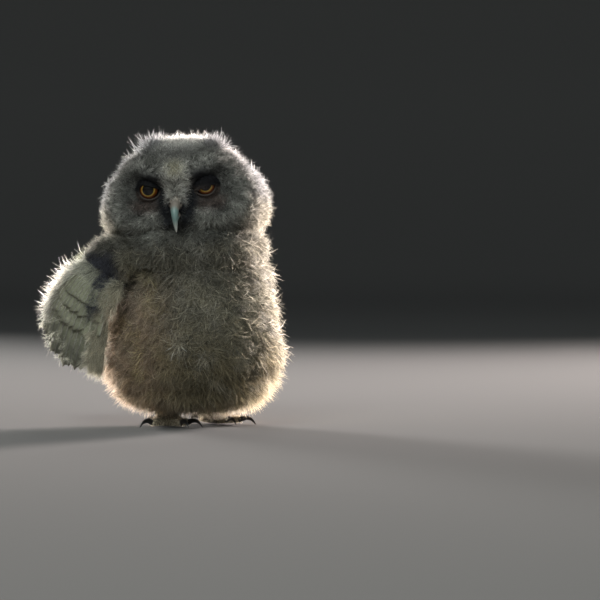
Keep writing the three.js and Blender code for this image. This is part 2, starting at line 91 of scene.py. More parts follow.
# The head's heights are from its pivot
HEAD = [
    (-36, 0, 0, 0),
    (-35.5, -18, 22, 26),
    (-32, -33, 38, 46),
    (-24, -41.5, 46, 55.5),
    (-15, -44, 49, 56.8),
    (-6, -44.5, 50, 56.5),
    (3, -43.5, 50, 53.8),
    (12, -41.5, 48, 48.5),
    (21.6, -36.5, 44, 42),
    (31.5, -28.5, 36, 34),
    (37, -19, 26, 24.5),
    (40, -9, 14, 13),
    (40.8, 2, 2, 0),
]
BODY_POWER = 2.3  # squareness of level sections
HEAD_POWER = 2.15
BODY_MIDDLE = (0, 13.5, 70)

# The head's place, and the face's relief in the head's own frame
HEAD_AT = np.array([-12.0, 3.0, 150.0])
HEAD_TURN = 51  # degrees to the bird's right
HEAD_ROLL = 4.5
EYE = (17.8, -27.6, 5.0)
EYE_BALL = 8.3
DISC = {"x": 18.5, "z": -1, "half": 24.5, "tall": 25, "dish": 8.3, "rim": 0.9, "rim_width": 0.17}
BRIDGE = {"half": 5, "flare": 0.3, "rise": 4, "top": 17, "bottom": -8}
BROW = {"x": 16, "z": 14, "half": 14, "tall": 4.6, "slope": 0.3, "rise": 7.5}
CHEEK = {"half": 17, "z": -18, "tall": 8, "rise": 2.5}

# Depth of the coat over the skin
BODY_COAT = 10
FLANK_COAT = 13  # round the middle of the body
HEM_COAT = 4  # at the bottom of the body, where the down hangs over the legs
CROWN_COAT = 7.5
FACE_COAT = 1.6
SHOULDER_COAT = 4.5
LEG_COAT = 3
TOE_COAT = 1.2

COLLAR = {"at": (-5.5, 3.5, 118), "radii": (44.5, 41.5, 19)}  # fills the crease under the head

# Wings, tail, legs and feet
SHOULDER = {"at": (52.5, 36, 102), "radii": (12.5, 34, 21), "turn": -30}
WING_ROOTS = np.array([(14.0, 94.0), (44.0, 106.0)])  # along Y and up, at the front and back edge
WING_TIPS = np.array([(43.0, 38.0), (104.0, 60.0)])
# The wing lies over a surface this far out, which falls in behind one line and away from one height
WING_OVER = {"out": 63.5, "bend_from": 20, "bend_over": 80, "bend": 15, "widest": 75, "curve": 0.0012}
WING_ROOT = 7  # how deep the feathers' roots are sunk
WING_ROUND = 0.14
WING_BOW = 5
FEATHER_COLUMNS = 9
FEATHER_BARS = 12  # from one dark bar to the next
VANE_ALONG = [0, 0.12, 0.45, 0.88, 0.95, 0.985, 1]
VANE_WIDTH = [0.3, 0.72, 1, 0.98, 0.88, 0.62, 0.3]
WING_COUNT = 9  # places across the wing are counted in so many steps
TAIL_COUNT = 12
LEG_SPREAD = 20
LEG_Y = 11
ANKLE = 11
FOOT_SPLAY = 12
TOE_THICK = 4.3
TOES = {"inner": (-22, 18), "middle": (6, 22), "outer": (72, 17), "hind": (168, 12)}
CLAW_LENGTH = 10.5
# The claw's middle line: how far past the toe's end, and its height
CLAW_LINE = [(-2, 3.2), (2, 4.6), (CLAW_LENGTH * 0.62, 4.0), (CLAW_LENGTH, 0.35)]

PATCH = 0.003  # width of one tuft's patch on its colour map
SIDES = {"left": 1, "right": -1}


def smooth(low, high, value):
    """A soft step from 0 at low to 1 at high."""
    t = np.clip((value - low) / (high - low), 0, 1)
    return t * t * (3 - 2 * t)


def bump(distance):
    return np.exp(-distance * distance)


def mix(a, b, share):
    return a + (b - a) * share


# Frames

TORSO_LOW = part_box("torso")[0] * 1000
SHIFT = np.array([0.0, TORSO_LOW.y - min(row[1] for row in BODY), 0.0])
HEAD_AXES = np.array(
    Matrix.Rotation(math.radians(-HEAD_TURN), 3, "Z") @ Matrix.Rotation(math.radians(-HEAD_ROLL), 3, "Y")
)


def to_frame(points):
    return (np.asarray(points, float) + SHIFT) / 1000


def from_frame(points):
    return np.asarray(points, float) * 1000 - SHIFT


def from_head(points):
    return np.asarray(points, float) @ HEAD_AXES.T + HEAD_AT


def to_head(points):
    return (np.asarray(points, float) - HEAD_AT) @ HEAD_AXES


# Meshes


def make_mesh(name, points, faces, uv=None):
    """A smooth-shaded mesh from points in millimetres; uv holds one pair for each point."""
    mesh = bpy.data.meshes.new(name)
    mesh.from_pydata(to_frame(points).tolist(), [], [tuple(face) for face in faces])
    mesh.polygons.foreach_set("use_smooth", [True] * len(mesh.polygons))
    if uv is not None:
        corners = np.zeros(len(mesh.loops), int)
        mesh.loops.foreach_get("vertex_index", corners)
        layer = mesh.uv_layers.new(name="surface")
        layer.uv.foreach_set("vector", np.asarray(uv, np.float32)[corners].ravel())
    mesh.update()
    return mesh


def add_object(name, mesh, *materials):
    piece = bpy.data.objects.new(name, mesh)
    bpy.context.scene.collection.objects.link(piece)
    for material in materials:
        mesh.materials.append(material)
    return piece


def settle(piece, slot, *nodes):
    """Fixes a finished piece to the body and hides the solids that it stands for."""
    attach(piece, "root")
    if nodes:
        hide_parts(*nodes)


def store(mesh, name, kind, values):
    """Stores one value for each point of a mesh."""
    attribute = mesh.attributes.new(name, kind, "POINT")
    key = {"FLOAT": "value", "FLOAT_VECTOR": "vector", "FLOAT_COLOR": "color"}[kind]
    attribute.data.foreach_set(key, np.asarray(values, np.float32).ravel())


def baked(piece, name):
    """The piece's mesh as its modifiers leave it; the piece itself goes."""
    graph = bpy.context.evaluated_depsgraph_get()
    mesh = bpy.data.meshes.new_from_object(piece.evaluated_get(graph))
    mesh.name = name
    bpy.data.objects.remove(piece)
    return mesh


def grid_faces(rows, columns, closed=True):
    """Quads between rows of points; closed rows run round."""
    steps = columns if closed else columns - 1
    row, column = np.meshgrid(np.arange(rows - 1), np.arange(steps), indexing="ij")
    a = row * columns + column
    b = row * columns + (column + 1) % columns
    return np.stack([a, b, b + columns, a + columns], axis=-1).reshape(-1, 4)


def tube(rings):
    """Points and faces of a closed form through rings, given as an array of rings of points."""
    count, sides, _ = rings.shape
    faces = [tuple(f) for f in grid_faces(count, sides)]
    faces.append(tuple(range(sides))[::-1])
    faces.append(tuple(range((count - 1) * sides, count * sides)))
    return rings.reshape(-1, 3), faces


def joined(forms):
    """Points and faces of several forms as one."""
    points, faces, start = [], [], 0
    for form_points, form_faces in forms:
        points.append(form_points)
        faces.extend(tuple(int(i) + start for i in face) for face in form_faces)
        start += len(form_points)
    return np.concatenate(points), faces


def curve(points, count):
    """Points along a smooth curve through the given ones."""
    points = np.asarray(points, float)
    ends = np.concatenate([2 * points[:1] - points[1:2], points, 2 * points[-1:] - points[-2:-1]])
    place = np.linspace(0, len(points) - 1 - 1e-9, count)
    i = place.astype(int)
    t = (place - i)[:, None]
    a, b, c, d = ends[i], ends[i + 1], ends[i + 2], ends[i + 3]
    return 0.5 * (2 * b + (c - a) * t + (2 * a - 5 * b + 4 * c - d) * t**2 + (3 * b - a - 3 * c + d) * t**3)


def unit(vectors):
    return vectors / np.maximum(np.linalg.norm(vectors, axis=-1, keepdims=True), 1e-9)


def horn(points, width, height, across, steps=30, sides=20, bluntness=0.7, keel=0.0):
    """A tapered tube along points; keel sharpens its upper edge."""
    path = curve(points, steps)
    along = unit(np.gradient(path, axis=0))
    side = unit(np.asarray(across, float) - along * (along @ np.asarray(across, float))[:, None])
    lift = np.cross(side, along)
    share = np.linspace(0, 1, steps)
    taper = np.maximum((1 - share**1.6), 0.0008) ** bluntness
    angle = np.linspace(0, 2 * math.pi, sides, endpoint=False)
    rings = path[:, None] + side[:, None] * (width * taper)[:, None, None] * np.cos(angle)[None, :, None]
    rise = np.sin(angle) + keel * np.maximum(np.sin(angle), 0) ** 6
    return rings + lift[:, None] * (height * taper)[:, None, None] * rise[None, :, None]


def ball(centre, radii, turn=0, rings=24, sides=32):
    """An egg-shaped ball turned about X, as rings from pole to pole."""
    polar = np.linspace(0.02, math.pi - 0.02, rings)[:, None]
    angle = np.linspace(0, 2 * math.pi, sides, endpoint=False)[None]
    shape = np.stack(
        [
            radii[0] * np.sin(polar) * np.cos(angle),
            radii[1] * np.sin(polar) * np.sin(angle),
            -radii[2] * np.cos(polar) * np.ones_like(angle),
        ],
        axis=-1,
    )
    return shape @ np.array(Matrix.Rotation(math.radians(turn), 3, "X")).T + np.asarray(centre, float)


# Nodes


def put(tree, kind, inputs=(), **settings):
    """Adds a node, sets it up and joins or fills its inputs, named or in order."""
    node = tree.nodes.new(kind)
    for name, value in settings.items():
        setattr(node, name, value)
    pairs = inputs.items() if isinstance(inputs, dict) else enumerate(inputs)
    for key, value in pairs:
        if isinstance(key, str):
            socket = next(s for s in node.inputs if s.name == key and not s.is_unavailable)
        else:
            socket = node.inputs[key]
        if isinstance(value, bpy.types.NodeSocket):
            tree.links.new(value, socket)
        else:
            socket.default_value = value
    return node


def result(node):
    """A node's first usable output."""
    return next(s for s in node.outputs if not s.is_unavailable)


def math_node(tree, operation, *values):
    return result(put(tree, "ShaderNodeMath", values, operation=operation))


def vector_node(tree, operation, *values):
    return result(put(tree, "ShaderNodeVectorMath", values, operation=operation))


def scaled(tree, vector, share):
    """A vector or colour, larger or brighter by a share."""
    return result(put(tree, "ShaderNodeVectorMath", {"Vector": vector, "Scale": share}, operation="SCALE"))


def add_sockets(tree, inputs, outputs):
    """Gives a node group its named inputs, as name: (kind, value), and outputs, as name: kind."""
    for name, (kind, value) in inputs.items():
        socket = tree.interface.new_socket(name, in_out="INPUT", socket_type="NodeSocket" + kind)
        if value is not None:
            socket.default_value = value
    for name, kind in outputs.items():
        tree.interface.new_socket(name, in_out="OUTPUT", socket_type="NodeSocket" + kind)
    return tree.nodes.new("NodeGroupInput"), tree.nodes.new("NodeGroupOutput")


def modify(piece, tree, **values):
    """Adds the tree to a piece as a modifier and sets its inputs by identifier."""
    modifier = piece.modifiers.new(tree.name, "NODES")
    modifier.node_group = tree
    known = {s.name: s.identifier for s in tree.interface.items_tree if s.item_type == "SOCKET"}
    for name, value in values.items():
        modifier[known[name.replace("_", " ").capitalize()]] = value


# Skin


def finer_rows(rows, finer=24):
    """Rows along a smooth curve through the given ones that never overshoots them."""
    rows = np.array(rows, float)
    step = np.diff(rows, axis=0)
    same = step[1:] * step[:-1] > 0
    total = np.where(same, step[1:] + step[:-1], 1)
    slope = np.zeros_like(rows)
    slope[1:-1] = np.where(same, 2 * step[1:] * step[:-1] / total, 0)
    slope[0], slope[-1] = step[0], step[-1]
    t = np.linspace(0, 1, finer, endpoint=False)[None, :, None]
    a, b = rows[:-1, None], rows[1:, None]
    da, db = slope[:-1, None], slope[1:, None]
    made = a * (1 - t) ** 2 * (1 + 2 * t) + b * t**2 * (3 - 2 * t)
    made = made + da * t * (1 - t) ** 2 - db * t**2 * (1 - t)
    return np.concatenate([made.reshape(-1, 4), rows[-1:]])


def face_relief(x, z, facing):
    """How far the face stands behind (+) or before (-) the head's plain form."""
    side = np.abs(x)
    r = disc_distance(x, z)
    dish = DISC["dish"] * (1 - smooth(0.25, 1, r))
    rim = DISC["rim"] * bump((r - 1.05) / DISC["rim_width"])
    half = BRIDGE["half"] + BRIDGE["flare"] * np.maximum(0, z - EYE[2])
    foot = smooth(BRIDGE["bottom"] - 4, BRIDGE["bottom"] + 4, z)
    bridge = BRIDGE["rise"] * bump(side / half) * foot * (1 - smooth(BRIDGE["top"], BRIDGE["top"] + 8, z))
    brow_line = BROW["z"] + BROW["slope"] * (side - BROW["x"])
    brow = BROW["rise"] * bump((side - BROW["x"]) / BROW["half"]) * bump((z - brow_line) / BROW["tall"])
    cheek = CHEEK["rise"] * bump(side / CHEEK["half"]) * bump((z - CHEEK["z"]) / CHEEK["tall"])
    return smooth(0, 0.35, facing) * (dish - rim - bridge - brow - cheek)


def disc_distance(x, z):
    """Distance from the middle of the nearer half of the face, 1 at its edge."""
    return np.hypot((np.abs(x) - DISC["x"]) / DISC["half"], (z - DISC["z"]) / DISC["tall"])


def head_depth(x, z, facing):
    """Depth of the coat over the head's skin, least on the face."""
    outside = np.maximum(smooth(0.8, 1.8, disc_distance(x, z)), smooth(-12, -28, z))
    return mix(CROWN_COAT, mix(FACE_COAT, CROWN_COAT, outside), smooth(0.1, 0.5, facing))


def body_depth(x, z, facing):
    """Depth of the coat over the body's skin."""
    around = mix(BODY_COAT, FLANK_COAT, smooth(36, 58, z) * smooth(108, 88, z))
    return mix(HEM_COAT, around, smooth(15, 24, z)) * np.ones_like(x)


def skin_form(rows, power, depth, relief=None, levels=130, segments=160):
    """The form inside the coat: rounded level sections, drawn in by the coat's depth."""
    table = finer_rows(rows)
    length = np.concatenate([[0], np.cumsum(np.linalg.norm(np.diff(table, axis=0), axis=1))])
    even = np.linspace(0, length[-1], levels)
    z, front, back, half = (np.interp(even, length, column)[:, None] for column in table.T)
    angle = np.linspace(0, 2 * math.pi, segments, endpoint=False)[None]
    across = np.sign(np.sin(angle)) * np.abs(np.sin(angle)) ** (2 / power)
    ahead = np.sign(np.cos(angle)) * np.abs(np.cos(angle)) ** (2 / power)
    drawn = depth(half * across, z, np.cos(angle)) * np.ones_like(across)
    x = np.maximum(half - drawn, 0.05 * half) * across
    y = (front + back) / 2 - np.maximum((back - front) / 2 - drawn, 0.05 * half) * ahead
    if relief:
        y = y + relief(half * across, z, np.cos(angle))
    low, high = rows[0][0], rows[-1][0]
    lifted = z - drawn * np.clip(2.6 * (z - (low + high) / 2) / (high - low), -1, 1)
    return np.stack([x, y, lifted], axis=-1)


def leg_rings(side):
    """A leg from the ankle up into the body."""
    share = np.linspace(0, 1, 12)[:, None, None]
    angle = np.linspace(0, 2 * math.pi, 24, endpoint=False)[None, :, None]
    low = np.array([side * LEG_SPREAD, LEG_Y, ANKLE - 4.0])
    high = np.array([side * LEG_SPREAD, LEG_Y + 4, 42.0])
    centre = mix(low, high, share)
    radius = mix(8.6, 13.5, share) - LEG_COAT
    return centre + radius * (np.cos(angle) * np.array([1, 0, 0]) + np.sin(angle) * np.array([0, 1, 0]))


def toe_ahead(side, turn):
    angle = math.radians(turn + FOOT_SPLAY)
    return np.array([side * math.sin(angle), -math.cos(angle), 0])


def toe_rings(side, turn, length):
    """A toe resting on the floor, with its pads as swellings."""
    ahead = toe_ahead(side, turn)
    across = np.array([-ahead[1], ahead[0], 0])
    share = np.linspace(0, 1, 18)
    radius = TOE_THICK * np.interp(share, [0, 0.4, 0.85, 1], [1.1, 1.0, 0.92, 0.66]) - TOE_COAT
    radius = radius * (1 + 0.07 * np.cos(share * 6 * math.pi))
    angle = np.linspace(0, 2 * math.pi, 18, endpoint=False)
    centre = np.array([side * LEG_SPREAD, LEG_Y, TOE_THICK * 0.8]) + ahead * mix(-3, length, share)[:, None]
    rings = centre[:, None] + across * (radius[:, None] * np.cos(angle))[..., None]
    rings = rings + np.array([0, 0, 1]) * (radius[:, None] * np.sin(angle))[..., None]
    rings[..., 2] = np.maximum(rings[..., 2], 0.35)
    return rings


def skin_shell():
    """All forms of flesh, drawn in by the coat's depth and fused to one surface."""
    forms = [skin_form(BODY, BODY_POWER, body_depth)]
    forms.append(from_head(skin_form(HEAD, HEAD_POWER, head_depth, face_relief)))
    forms.append(ball(COLLAR["at"], COLLAR["radii"]))
    for side in SIDES.values():
        at = np.array(SHOULDER["at"]) * (side, 1, 1)
        radii = [r - SHOULDER_COAT for r in SHOULDER["radii"]]
        forms.append(ball(at, radii, SHOULDER["turn"]))
        forms.append(leg_rings(side))
        forms.append(ball((side * LEG_SPREAD, LEG_Y, 5.6), (7.2, 7.6, 5.3)))
        forms.extend(toe_rings(side, turn, length) for turn, length in TOES.values())
    points, faces = joined([tube(rings) for rings in forms])
    rough = add_object("skin_forms", make_mesh("skin_forms", points, faces))
    fuse = rough.modifiers.new("fuse", "REMESH")
    fuse.mode = "VOXEL"
    fuse.voxel_size = 0.0016
    soften = rough.modifiers.new("soften", "SMOOTH")
    soften.factor = 0.5
    soften.iterations = 5
    mesh = baked(rough, "skin")
    mesh.polygons.foreach_set("use_smooth", [True] * len(mesh.polygons))
    return mesh


# Markings: one colour for each place, alike on skin and coat

BREAST_BARS = 7.2  # from one dark bar to the next
# Spots of the face in their order, alike on both sides: colour, weight, place aside and up,
# half its width and height, softness of its edge, and how far it leans outwards as it rises
FACE_SPOTS = [
    ("mask", 0.5, (23.5, 3), (13, 12), 0.6, 0),
    ("brown", 1, (20, -5), (10, 5.5), 0.35, 0),
    ("mask", 0.45, (25.5, -9.5), (8, 2.4), 0.6, 0),
    ("mask", 0.9, (16, 9.5), (8.5, 5.5), 0.5, 0),
    ("mask", 1, (17.4, 5), (8.4, 7.4), 0.3, 0),
    ("mask", 1, (7.3, -7.5), (6, 14.5), 0.5, 0.28),
    ("pale", 0.5, (17, -10), (5, 1.6), 0.7, 0),
]


def linear(colour):
    """A screen colour as light."""
    colour = np.asarray(colour, float)
    return np.where(colour <= 0.04045, colour / 12.92, ((colour + 0.055) / 1.055) ** 2.4)


def paint(name):
    """One of the set colours, as light."""
    return linear(tuple(getattr(bpy.context.scene.owl_colours, name)))


def lay(colour, name, weight):
    """Covers a colour with one of the set colours, by a weight for each point."""
    return mix(colour, paint(name), np.clip(weight, 0, 1)[:, None])


def waves(points, size, seed):
    """Soft, even noise between about -1 and 1, from a few crossing waves."""
    rng = np.random.default_rng(seed)
    total = np.zeros(len(points))
    for _ in range(9):
        way = unit(rng.normal(size=3)) * 2 * math.pi / (size * rng.uniform(0.7, 1.5))
        total += np.sin(points @ way + rng.uniform(0, 6.28))
    return total / 4


def oval(x, z, at, radii, edge=0.35):
    """1 inside an oval on the face and 0 outside, with a soft edge."""
    r = np.hypot((x - at[0]) / radii[0], (z - at[1]) / radii[1])
    return 1 - smooth(1 - edge, 1 + edge, r)


def body_markings(points):
    """Bars, specks and streaks from breast to hem."""
    height = points[:, 2]
    side = np.clip(np.abs(np.arctan2(points[:, 0], -(points[:, 1] - BODY_MIDDLE[1]))) / math.pi, 0, 1)
    colour = np.tile(paint("breast"), (len(points), 1))
    colour = lay(colour, "dusky", 0.3 * smooth(78, 108, height + 6 * waves(points, 30, 1)))
    colour = lay(colour, "belly", smooth(82, 40, height + 5 * waves(points, 24, 2)))
    bars = np.sin(2 * math.pi * height / BREAST_BARS + 1.8 * waves(points, 20, 3))
    bars = smooth(0, 0.8, bars * (0.7 + 0.5 * waves(points, 14, 17)))
    colour = lay(colour, "dusky", 0.8 * bars * smooth(25, 45, height))
    colour = lay(colour, "pale", 0.34 * smooth(0.2, 1, waves(points * (1, 1, 0.25), 7, 4)))
    specks = smooth(0.2, 1, waves(points, 4.2, 18))
    colour = lay(colour, "dusky", specks * mix(0.4, 0.75, smooth(75, 95, height)))
    # Lighter, warmer buff on the flanks: partly the down's own buff, partly a painted warm glow of the lamps
    # behind
    warm = smooth(0.22, 0.42, side) * smooth(112, 80, height) * smooth(0.95, 0.75, side)
    colour = lay(colour, "flank", 0.3 * warm)
    streaks = smooth(0.1, 0.9, waves(points * (1, 1, 0.12), 6, 16))
    streaks = streaks * smooth(0.27, 0.36, side) * smooth(0.6, 0.5, side) * smooth(112, 96, height)
    colour = lay(colour, "straw", 0.5 * streaks)
    return lay(colour, "pale", 0.25 * smooth(24, 17, height))


def crown_markings(points, z):
    """Fine pale and dark mottling, darker at the nape, and lighter on top: partly the crown's whitish down,
    partly painted light from the lamps behind.
    """
    colour = np.tile(paint("crown"), (len(points), 1))
    colour = lay(colour, "dusky", 0.6 * smooth(0.15, 0.9, waves(points, 11, 5)))
    colour = lay(colour, "pale", 0.45 * smooth(0.2, 1, waves(points, 4, 21)))
    colour = lay(colour, "dusky", 0.5 * smooth(0.2, 1, waves(points, 3.5, 22)))
    colour = lay(colour, "breast", 0.75 * smooth(2, -16, z))
    colour = lay(colour, "dusky", 0.5 * smooth(-16, -32, z))
    # Lighter top of the crown: partly whitish down, partly painted light where the back lights catch the
    # crown
    return lay(colour, "pale", 0.5 * smooth(21, 30, z))


def face_markings(points, x, z, colour):
    """The mask, the cheeks, and the pale wedge and brows over a given ground; x is from the middle."""
    colour = lay(colour, "cheek", 1 - smooth(0.92, 1.12, disc_distance(x, z)))
    colour = lay(colour, "dusky", 0.65 * smooth(8, 14, z) * smooth(28, 22, z))
    colour = lay(colour, "cheek", 0.8 * oval(x, z, (0, -24), (26, 12)))
    colour = lay(colour, "dusky", 0.6 * smooth(-15, -31, z + 2 * waves(points, 10, 6)))
    for name, weight, at, radii, edge, lean in FACE_SPOTS:
        colour = lay(colour, name, weight * oval(x - lean * (z + 6), z, at, radii, edge))
    wedge_half = np.clip(5 + 0.8 * z, 3, 11.5)
    wedge = smooth(1.15, 0.8, x / wedge_half) * smooth(-5, 1, z) * smooth(28, 14, z)
    wedge = wedge * (0.52 + 0.5 * waves(points, 3, 7)) * mix(1, 0.7, smooth(8, 16, z))
    colour = lay(colour, "pale", wedge)
    colour = lay(colour, "straw", 0.35 * oval(x, z, (0, 14), (4, 4), 0.7))
    brow = bump((x - 16.5) / 13) * bump((z - 17 - 0.3 * (x - 15.5)) / 3.4)
    colour = lay(colour, "pale", brow * (0.25 + 0.4 * waves(points, 3.5, 19)))
    ruff = bump((disc_distance(x, z) - 1.1) / 0.09) * smooth(6, 26, x)
    return lay(colour, "dusky", 0.3 * ruff)


def shoulder_markings(points, z, colour):
    """A slate band from the shoulder down the front of the wing, and a paler grey behind it."""
    shoulder = smooth(38, 46, np.abs(points[:, 0])) * smooth(72, 82, points[:, 2]) * smooth(-30, -34, z)
    depth = points[:, 1] + 2.5 * waves(points, 16, 20)
    colour = lay(colour, "feather", 0.7 * shoulder * smooth(34, 46, depth))
    return lay(colour, "slate", 0.95 * shoulder * smooth(12, 20, depth) * smooth(52, 42, depth))


def markings(points, normals):
    """Colour of the coat at each point."""
    head = to_head(points)
    x, z = np.abs(head[:, 0]), head[:, 2]
    front = smooth(0.05, 0.35, -(normals @ HEAD_AXES)[:, 1])
    crown = crown_markings(points, z)
    crown = mix(crown, face_markings(points, x, z, crown), front[:, None])
    colour = mix(body_markings(points), crown, smooth(-34, -27, z)[:, None])
    colour = shoulder_markings(points, z, colour)
    colour = colour * (1 + 0.24 * waves(points, 4, 14) + 0.13 * waves(points, 9, 15))[:, None]
    return lay(colour, "leg", smooth(20, 15, points[:, 2]))


# Lie and length of the coat


def coat_lie(points, normals):
    """The way that the down lies at each point."""
    head = to_head(points)
    outward = unit((points - np.array(BODY_MIDDLE)) * (1, 1, 0))
    under = smooth(-0.5, -0.9, normals[:, 2])[:, None]
    body = np.array([0, 0.12, -1.0]) + mix(0.12, 1.5, under) * outward
    from_bill = unit(head - np.array([0, -46.0, -4.0]))
    back_down = np.array([0, 0.25, -0.9])
    crown = mix(from_bill, back_down, smooth(-20, 30, head[:, 1])[:, None] * 0.8)
    eye = np.array(EYE) * np.column_stack([np.sign(head[:, 0]), np.ones((len(head), 2))])
    on_disc = 1 - smooth(0.95, 1.2, disc_distance(head[:, 0], head[:, 2]))
    on_disc = on_disc * smooth(3, 9, np.abs(head[:, 0])) * smooth(0, 0.3, -(normals @ HEAD_AXES)[:, 1])
    face = mix(crown, unit(head - eye), on_disc[:, None])
    return mix(body, face @ HEAD_AXES.T, smooth(-34, -26, head[:, 2])[:, None])


def coat_length(points, normals):
    """Length of the down in millimetres."""
    settings = bpy.context.scene.owl_coat
    head = to_head(points)
    front = smooth(0.05, 0.4, -(normals @ HEAD_AXES)[:, 1])
    r = disc_distance(head[:, 0], head[:, 2])
    from_eye = np.linalg.norm(np.stack([np.abs(head[:, 0]) - EYE[0], head[:, 2] - EYE[2]], axis=1), axis=1)
    inside = mix(settings.face_length * 0.4, settings.face_length, smooth(8, 16, from_eye))
    outside = np.maximum(smooth(0.85, 1.2, r), smooth(-12, -24, head[:, 2]))
    face = mix(inside, settings.head_length, outside)
    wedge = smooth(10, 4, np.abs(head[:, 0])) * smooth(0, 12, head[:, 2])
    face = mix(face, settings.wedge_length, wedge * (1 - smooth(0.85, 1.2, r)))
    crown = mix(settings.head_length, face, front)
    length = mix(settings.body_length, crown, smooth(-38, -26, head[:, 2]))
    length = length * (1 + 0.16 * waves(points, 9, 12))
    shoulder = np.zeros(len(points))
    for side in SIDES.values():
        away = np.linalg.norm((points - np.array(SHOULDER["at"]) * (side, 1, 1)) / (20, 38, 24), axis=1)
        shoulder = np.maximum(shoulder, smooth(1.1, 0.8, away) * smooth(34, 46, side * points[:, 0]))
    length = mix(length, settings.shoulder_length, shoulder)
    hem = smooth(40, 24, points[:, 2]) * smooth(-34, -40, head[:, 2])
    length = mix(length, settings.hem_length, hem)
    length = mix(length, settings.leg_length, smooth(19, 15, points[:, 2]))
    length = mix(length, settings.toe_length, smooth(14, 8, points[:, 2]))
    return length * mix(0.25, 1, smooth(0.8, 3.5, points[:, 2]))


def coat_regions(points, normals):
    """Which region of the coat each point is in; the loose wisps lie over the others."""
    head = to_head(points)
    on_head = head[:, 2] > -30
    r = disc_distance(head[:, 0], head[:, 2])
    facing = -(normals @ HEAD_AXES)[:, 1]
    on_face = on_head & (r < 1.0) & (facing > 0.15)
    turn = np.degrees(np.arctan2(head[:, 0], -head[:, 1]))
    on_leg = (points[:, 2] < 17) & (np.hypot(np.abs(points[:, 0]) - LEG_SPREAD, points[:, 1] - LEG_Y) < 34)
    under = ~on_leg & ~on_head & (points[:, 2] < 36) & (normals[:, 2] < -0.55)
    around = np.degrees(np.arctan2(points[:, 0], -(points[:, 1] - BODY_MIDDLE[1])))
    body = ~on_head & ~on_leg & ~under
    high = points[:, 2] > 68
    regions = {
        "face": on_face,
        "crown": on_head & ~on_face & (np.abs(turn) < 75),
        "nape_left": on_head & ~on_face & (turn >= 75),
        "nape_right": on_head & ~on_face & (turn <= -75),
        "leg_left": on_leg & (points[:, 0] > 0),
        "leg_right": on_leg & (points[:, 0] <= 0),
        "underside": under,
        "breast": body & (np.abs(around) < 55) & high,
        "belly": body & (np.abs(around) < 55) & ~high,
        "flank_left": body & (around >= 55) & (around < 125),
        "flank_right": body & (around <= -55) & (around > -125),
        "back": body & (np.abs(around) >= 125),
        "body_wisps": body,
        "head_wisps": on_head & ~on_face,
    }
    return {name: mask.astype(float) for name, mask in regions.items()}


def dress_skin(mesh):
    """Stores the coat's colour, lie, length and regions on the skin."""
    points = np.zeros(len(mesh.vertices) * 3)
    mesh.vertices.foreach_get("co", points)
    points = from_frame(points.reshape(-1, 3))
    normals = np.zeros(len(mesh.vertices) * 3)
    mesh.vertex_normals.foreach_get("vector", normals)
    normals = normals.reshape(-1, 3)
    colour = markings(points, normals)
    store(mesh, "coat_colour", "FLOAT_COLOR", np.column_stack([colour, np.ones(len(colour))]))
    store(mesh, "coat_lie", "FLOAT_VECTOR", coat_lie(points, normals))
    store(mesh, "coat_length", "FLOAT", coat_length(points, normals) / 1000)
    for name, share in coat_regions(points, normals).items():
        store(mesh, "on_" + name, "FLOAT", share)


# Head: eyes, lids, bill and ear tufts

EYE_TURN = 5  # degrees that each eye looks outwards
IRIS = {"radius": 5.6, "pupil": 3.7, "bulge": 0.7}
LID_TOP = {"left": -1.5, "right": 1.7}  # height of the upper lid over the middle of the eye
LID_SLOPE = 0.3  # how much lower it is towards the bill
LID_OPENING = (6.0, 4.8)
# From the lids' inner edge outwards: share of the way, and height over the ball
LID_PROFILE = [
    (0, 0.1),
    (0.01, 0.85),
    (0.05, 1.2),
    (0.11, 1.3),
    (0.2, 1.05),
    (0.34, 1.35),
    (0.6, 1.5),
    (1, 0.6),
]
BEAK_UPPER = [(0, -36, -7), (0, -46, -6.3), (0, -51.8, -8.9), (0, -54.1, -15), (0, -51.9, -24)]
BEAK_LOWER = [(0, -38, -12.5), (0, -45.5, -13), (0, -49, -15), (0, -50.2, -18)]
CERE = {"at": (0, -43.8, -5), "radii": (4.9, 6, 4.8), "turn": 20}
NOSTRIL = (4.4, -47.4, -5.5)
EAR = {"y": -15.0, "z": 26.0, "radii": (4.4, 2.6, 2.2)}
EAR_TUFTS = {"left": (22.0, 12.0), "right": (16.5, 15.0)}  # place aside and length


def eye_centre(side):
    return np.array(EYE) * (side, 1, 1)


def eye_axes(side):
    """The eye's own axes as columns: across, forward (its -Y) and up."""
    return np.array(Matrix.Rotation(math.radians(side * EYE_TURN), 3, "Z"))


def eye_mesh(side):
    """A ball with a raised cornea; its map holds the place across and up, in parts of 20 mm."""
    polar = np.concatenate([np.linspace(0.01, 1.0, 44), np.linspace(1.06, math.pi - 0.02, 20)])[:, None]
    angle = np.linspace(0, 2 * math.pi, 64, endpoint=False)[None]
    away = EYE_BALL * np.sin(polar)
    raised = IRIS["bulge"] * np.maximum(0, 1 - (away / 6.4) ** 2) * (polar < 1.2)
    radius = EYE_BALL + raised
    rings = np.stack(
        [
            radius * np.sin(polar) * np.cos(angle),
            -radius * np.cos(polar) * np.ones_like(angle),
            radius * np.sin(polar) * np.sin(angle),
        ],
        axis=-1,
    )
    points, faces = tube(rings)
    uv = 0.5 + points[:, (0, 2)] / 20
    return make_mesh("eye", from_head(points @ eye_axes(side).T + eye_centre(side)), faces, uv)


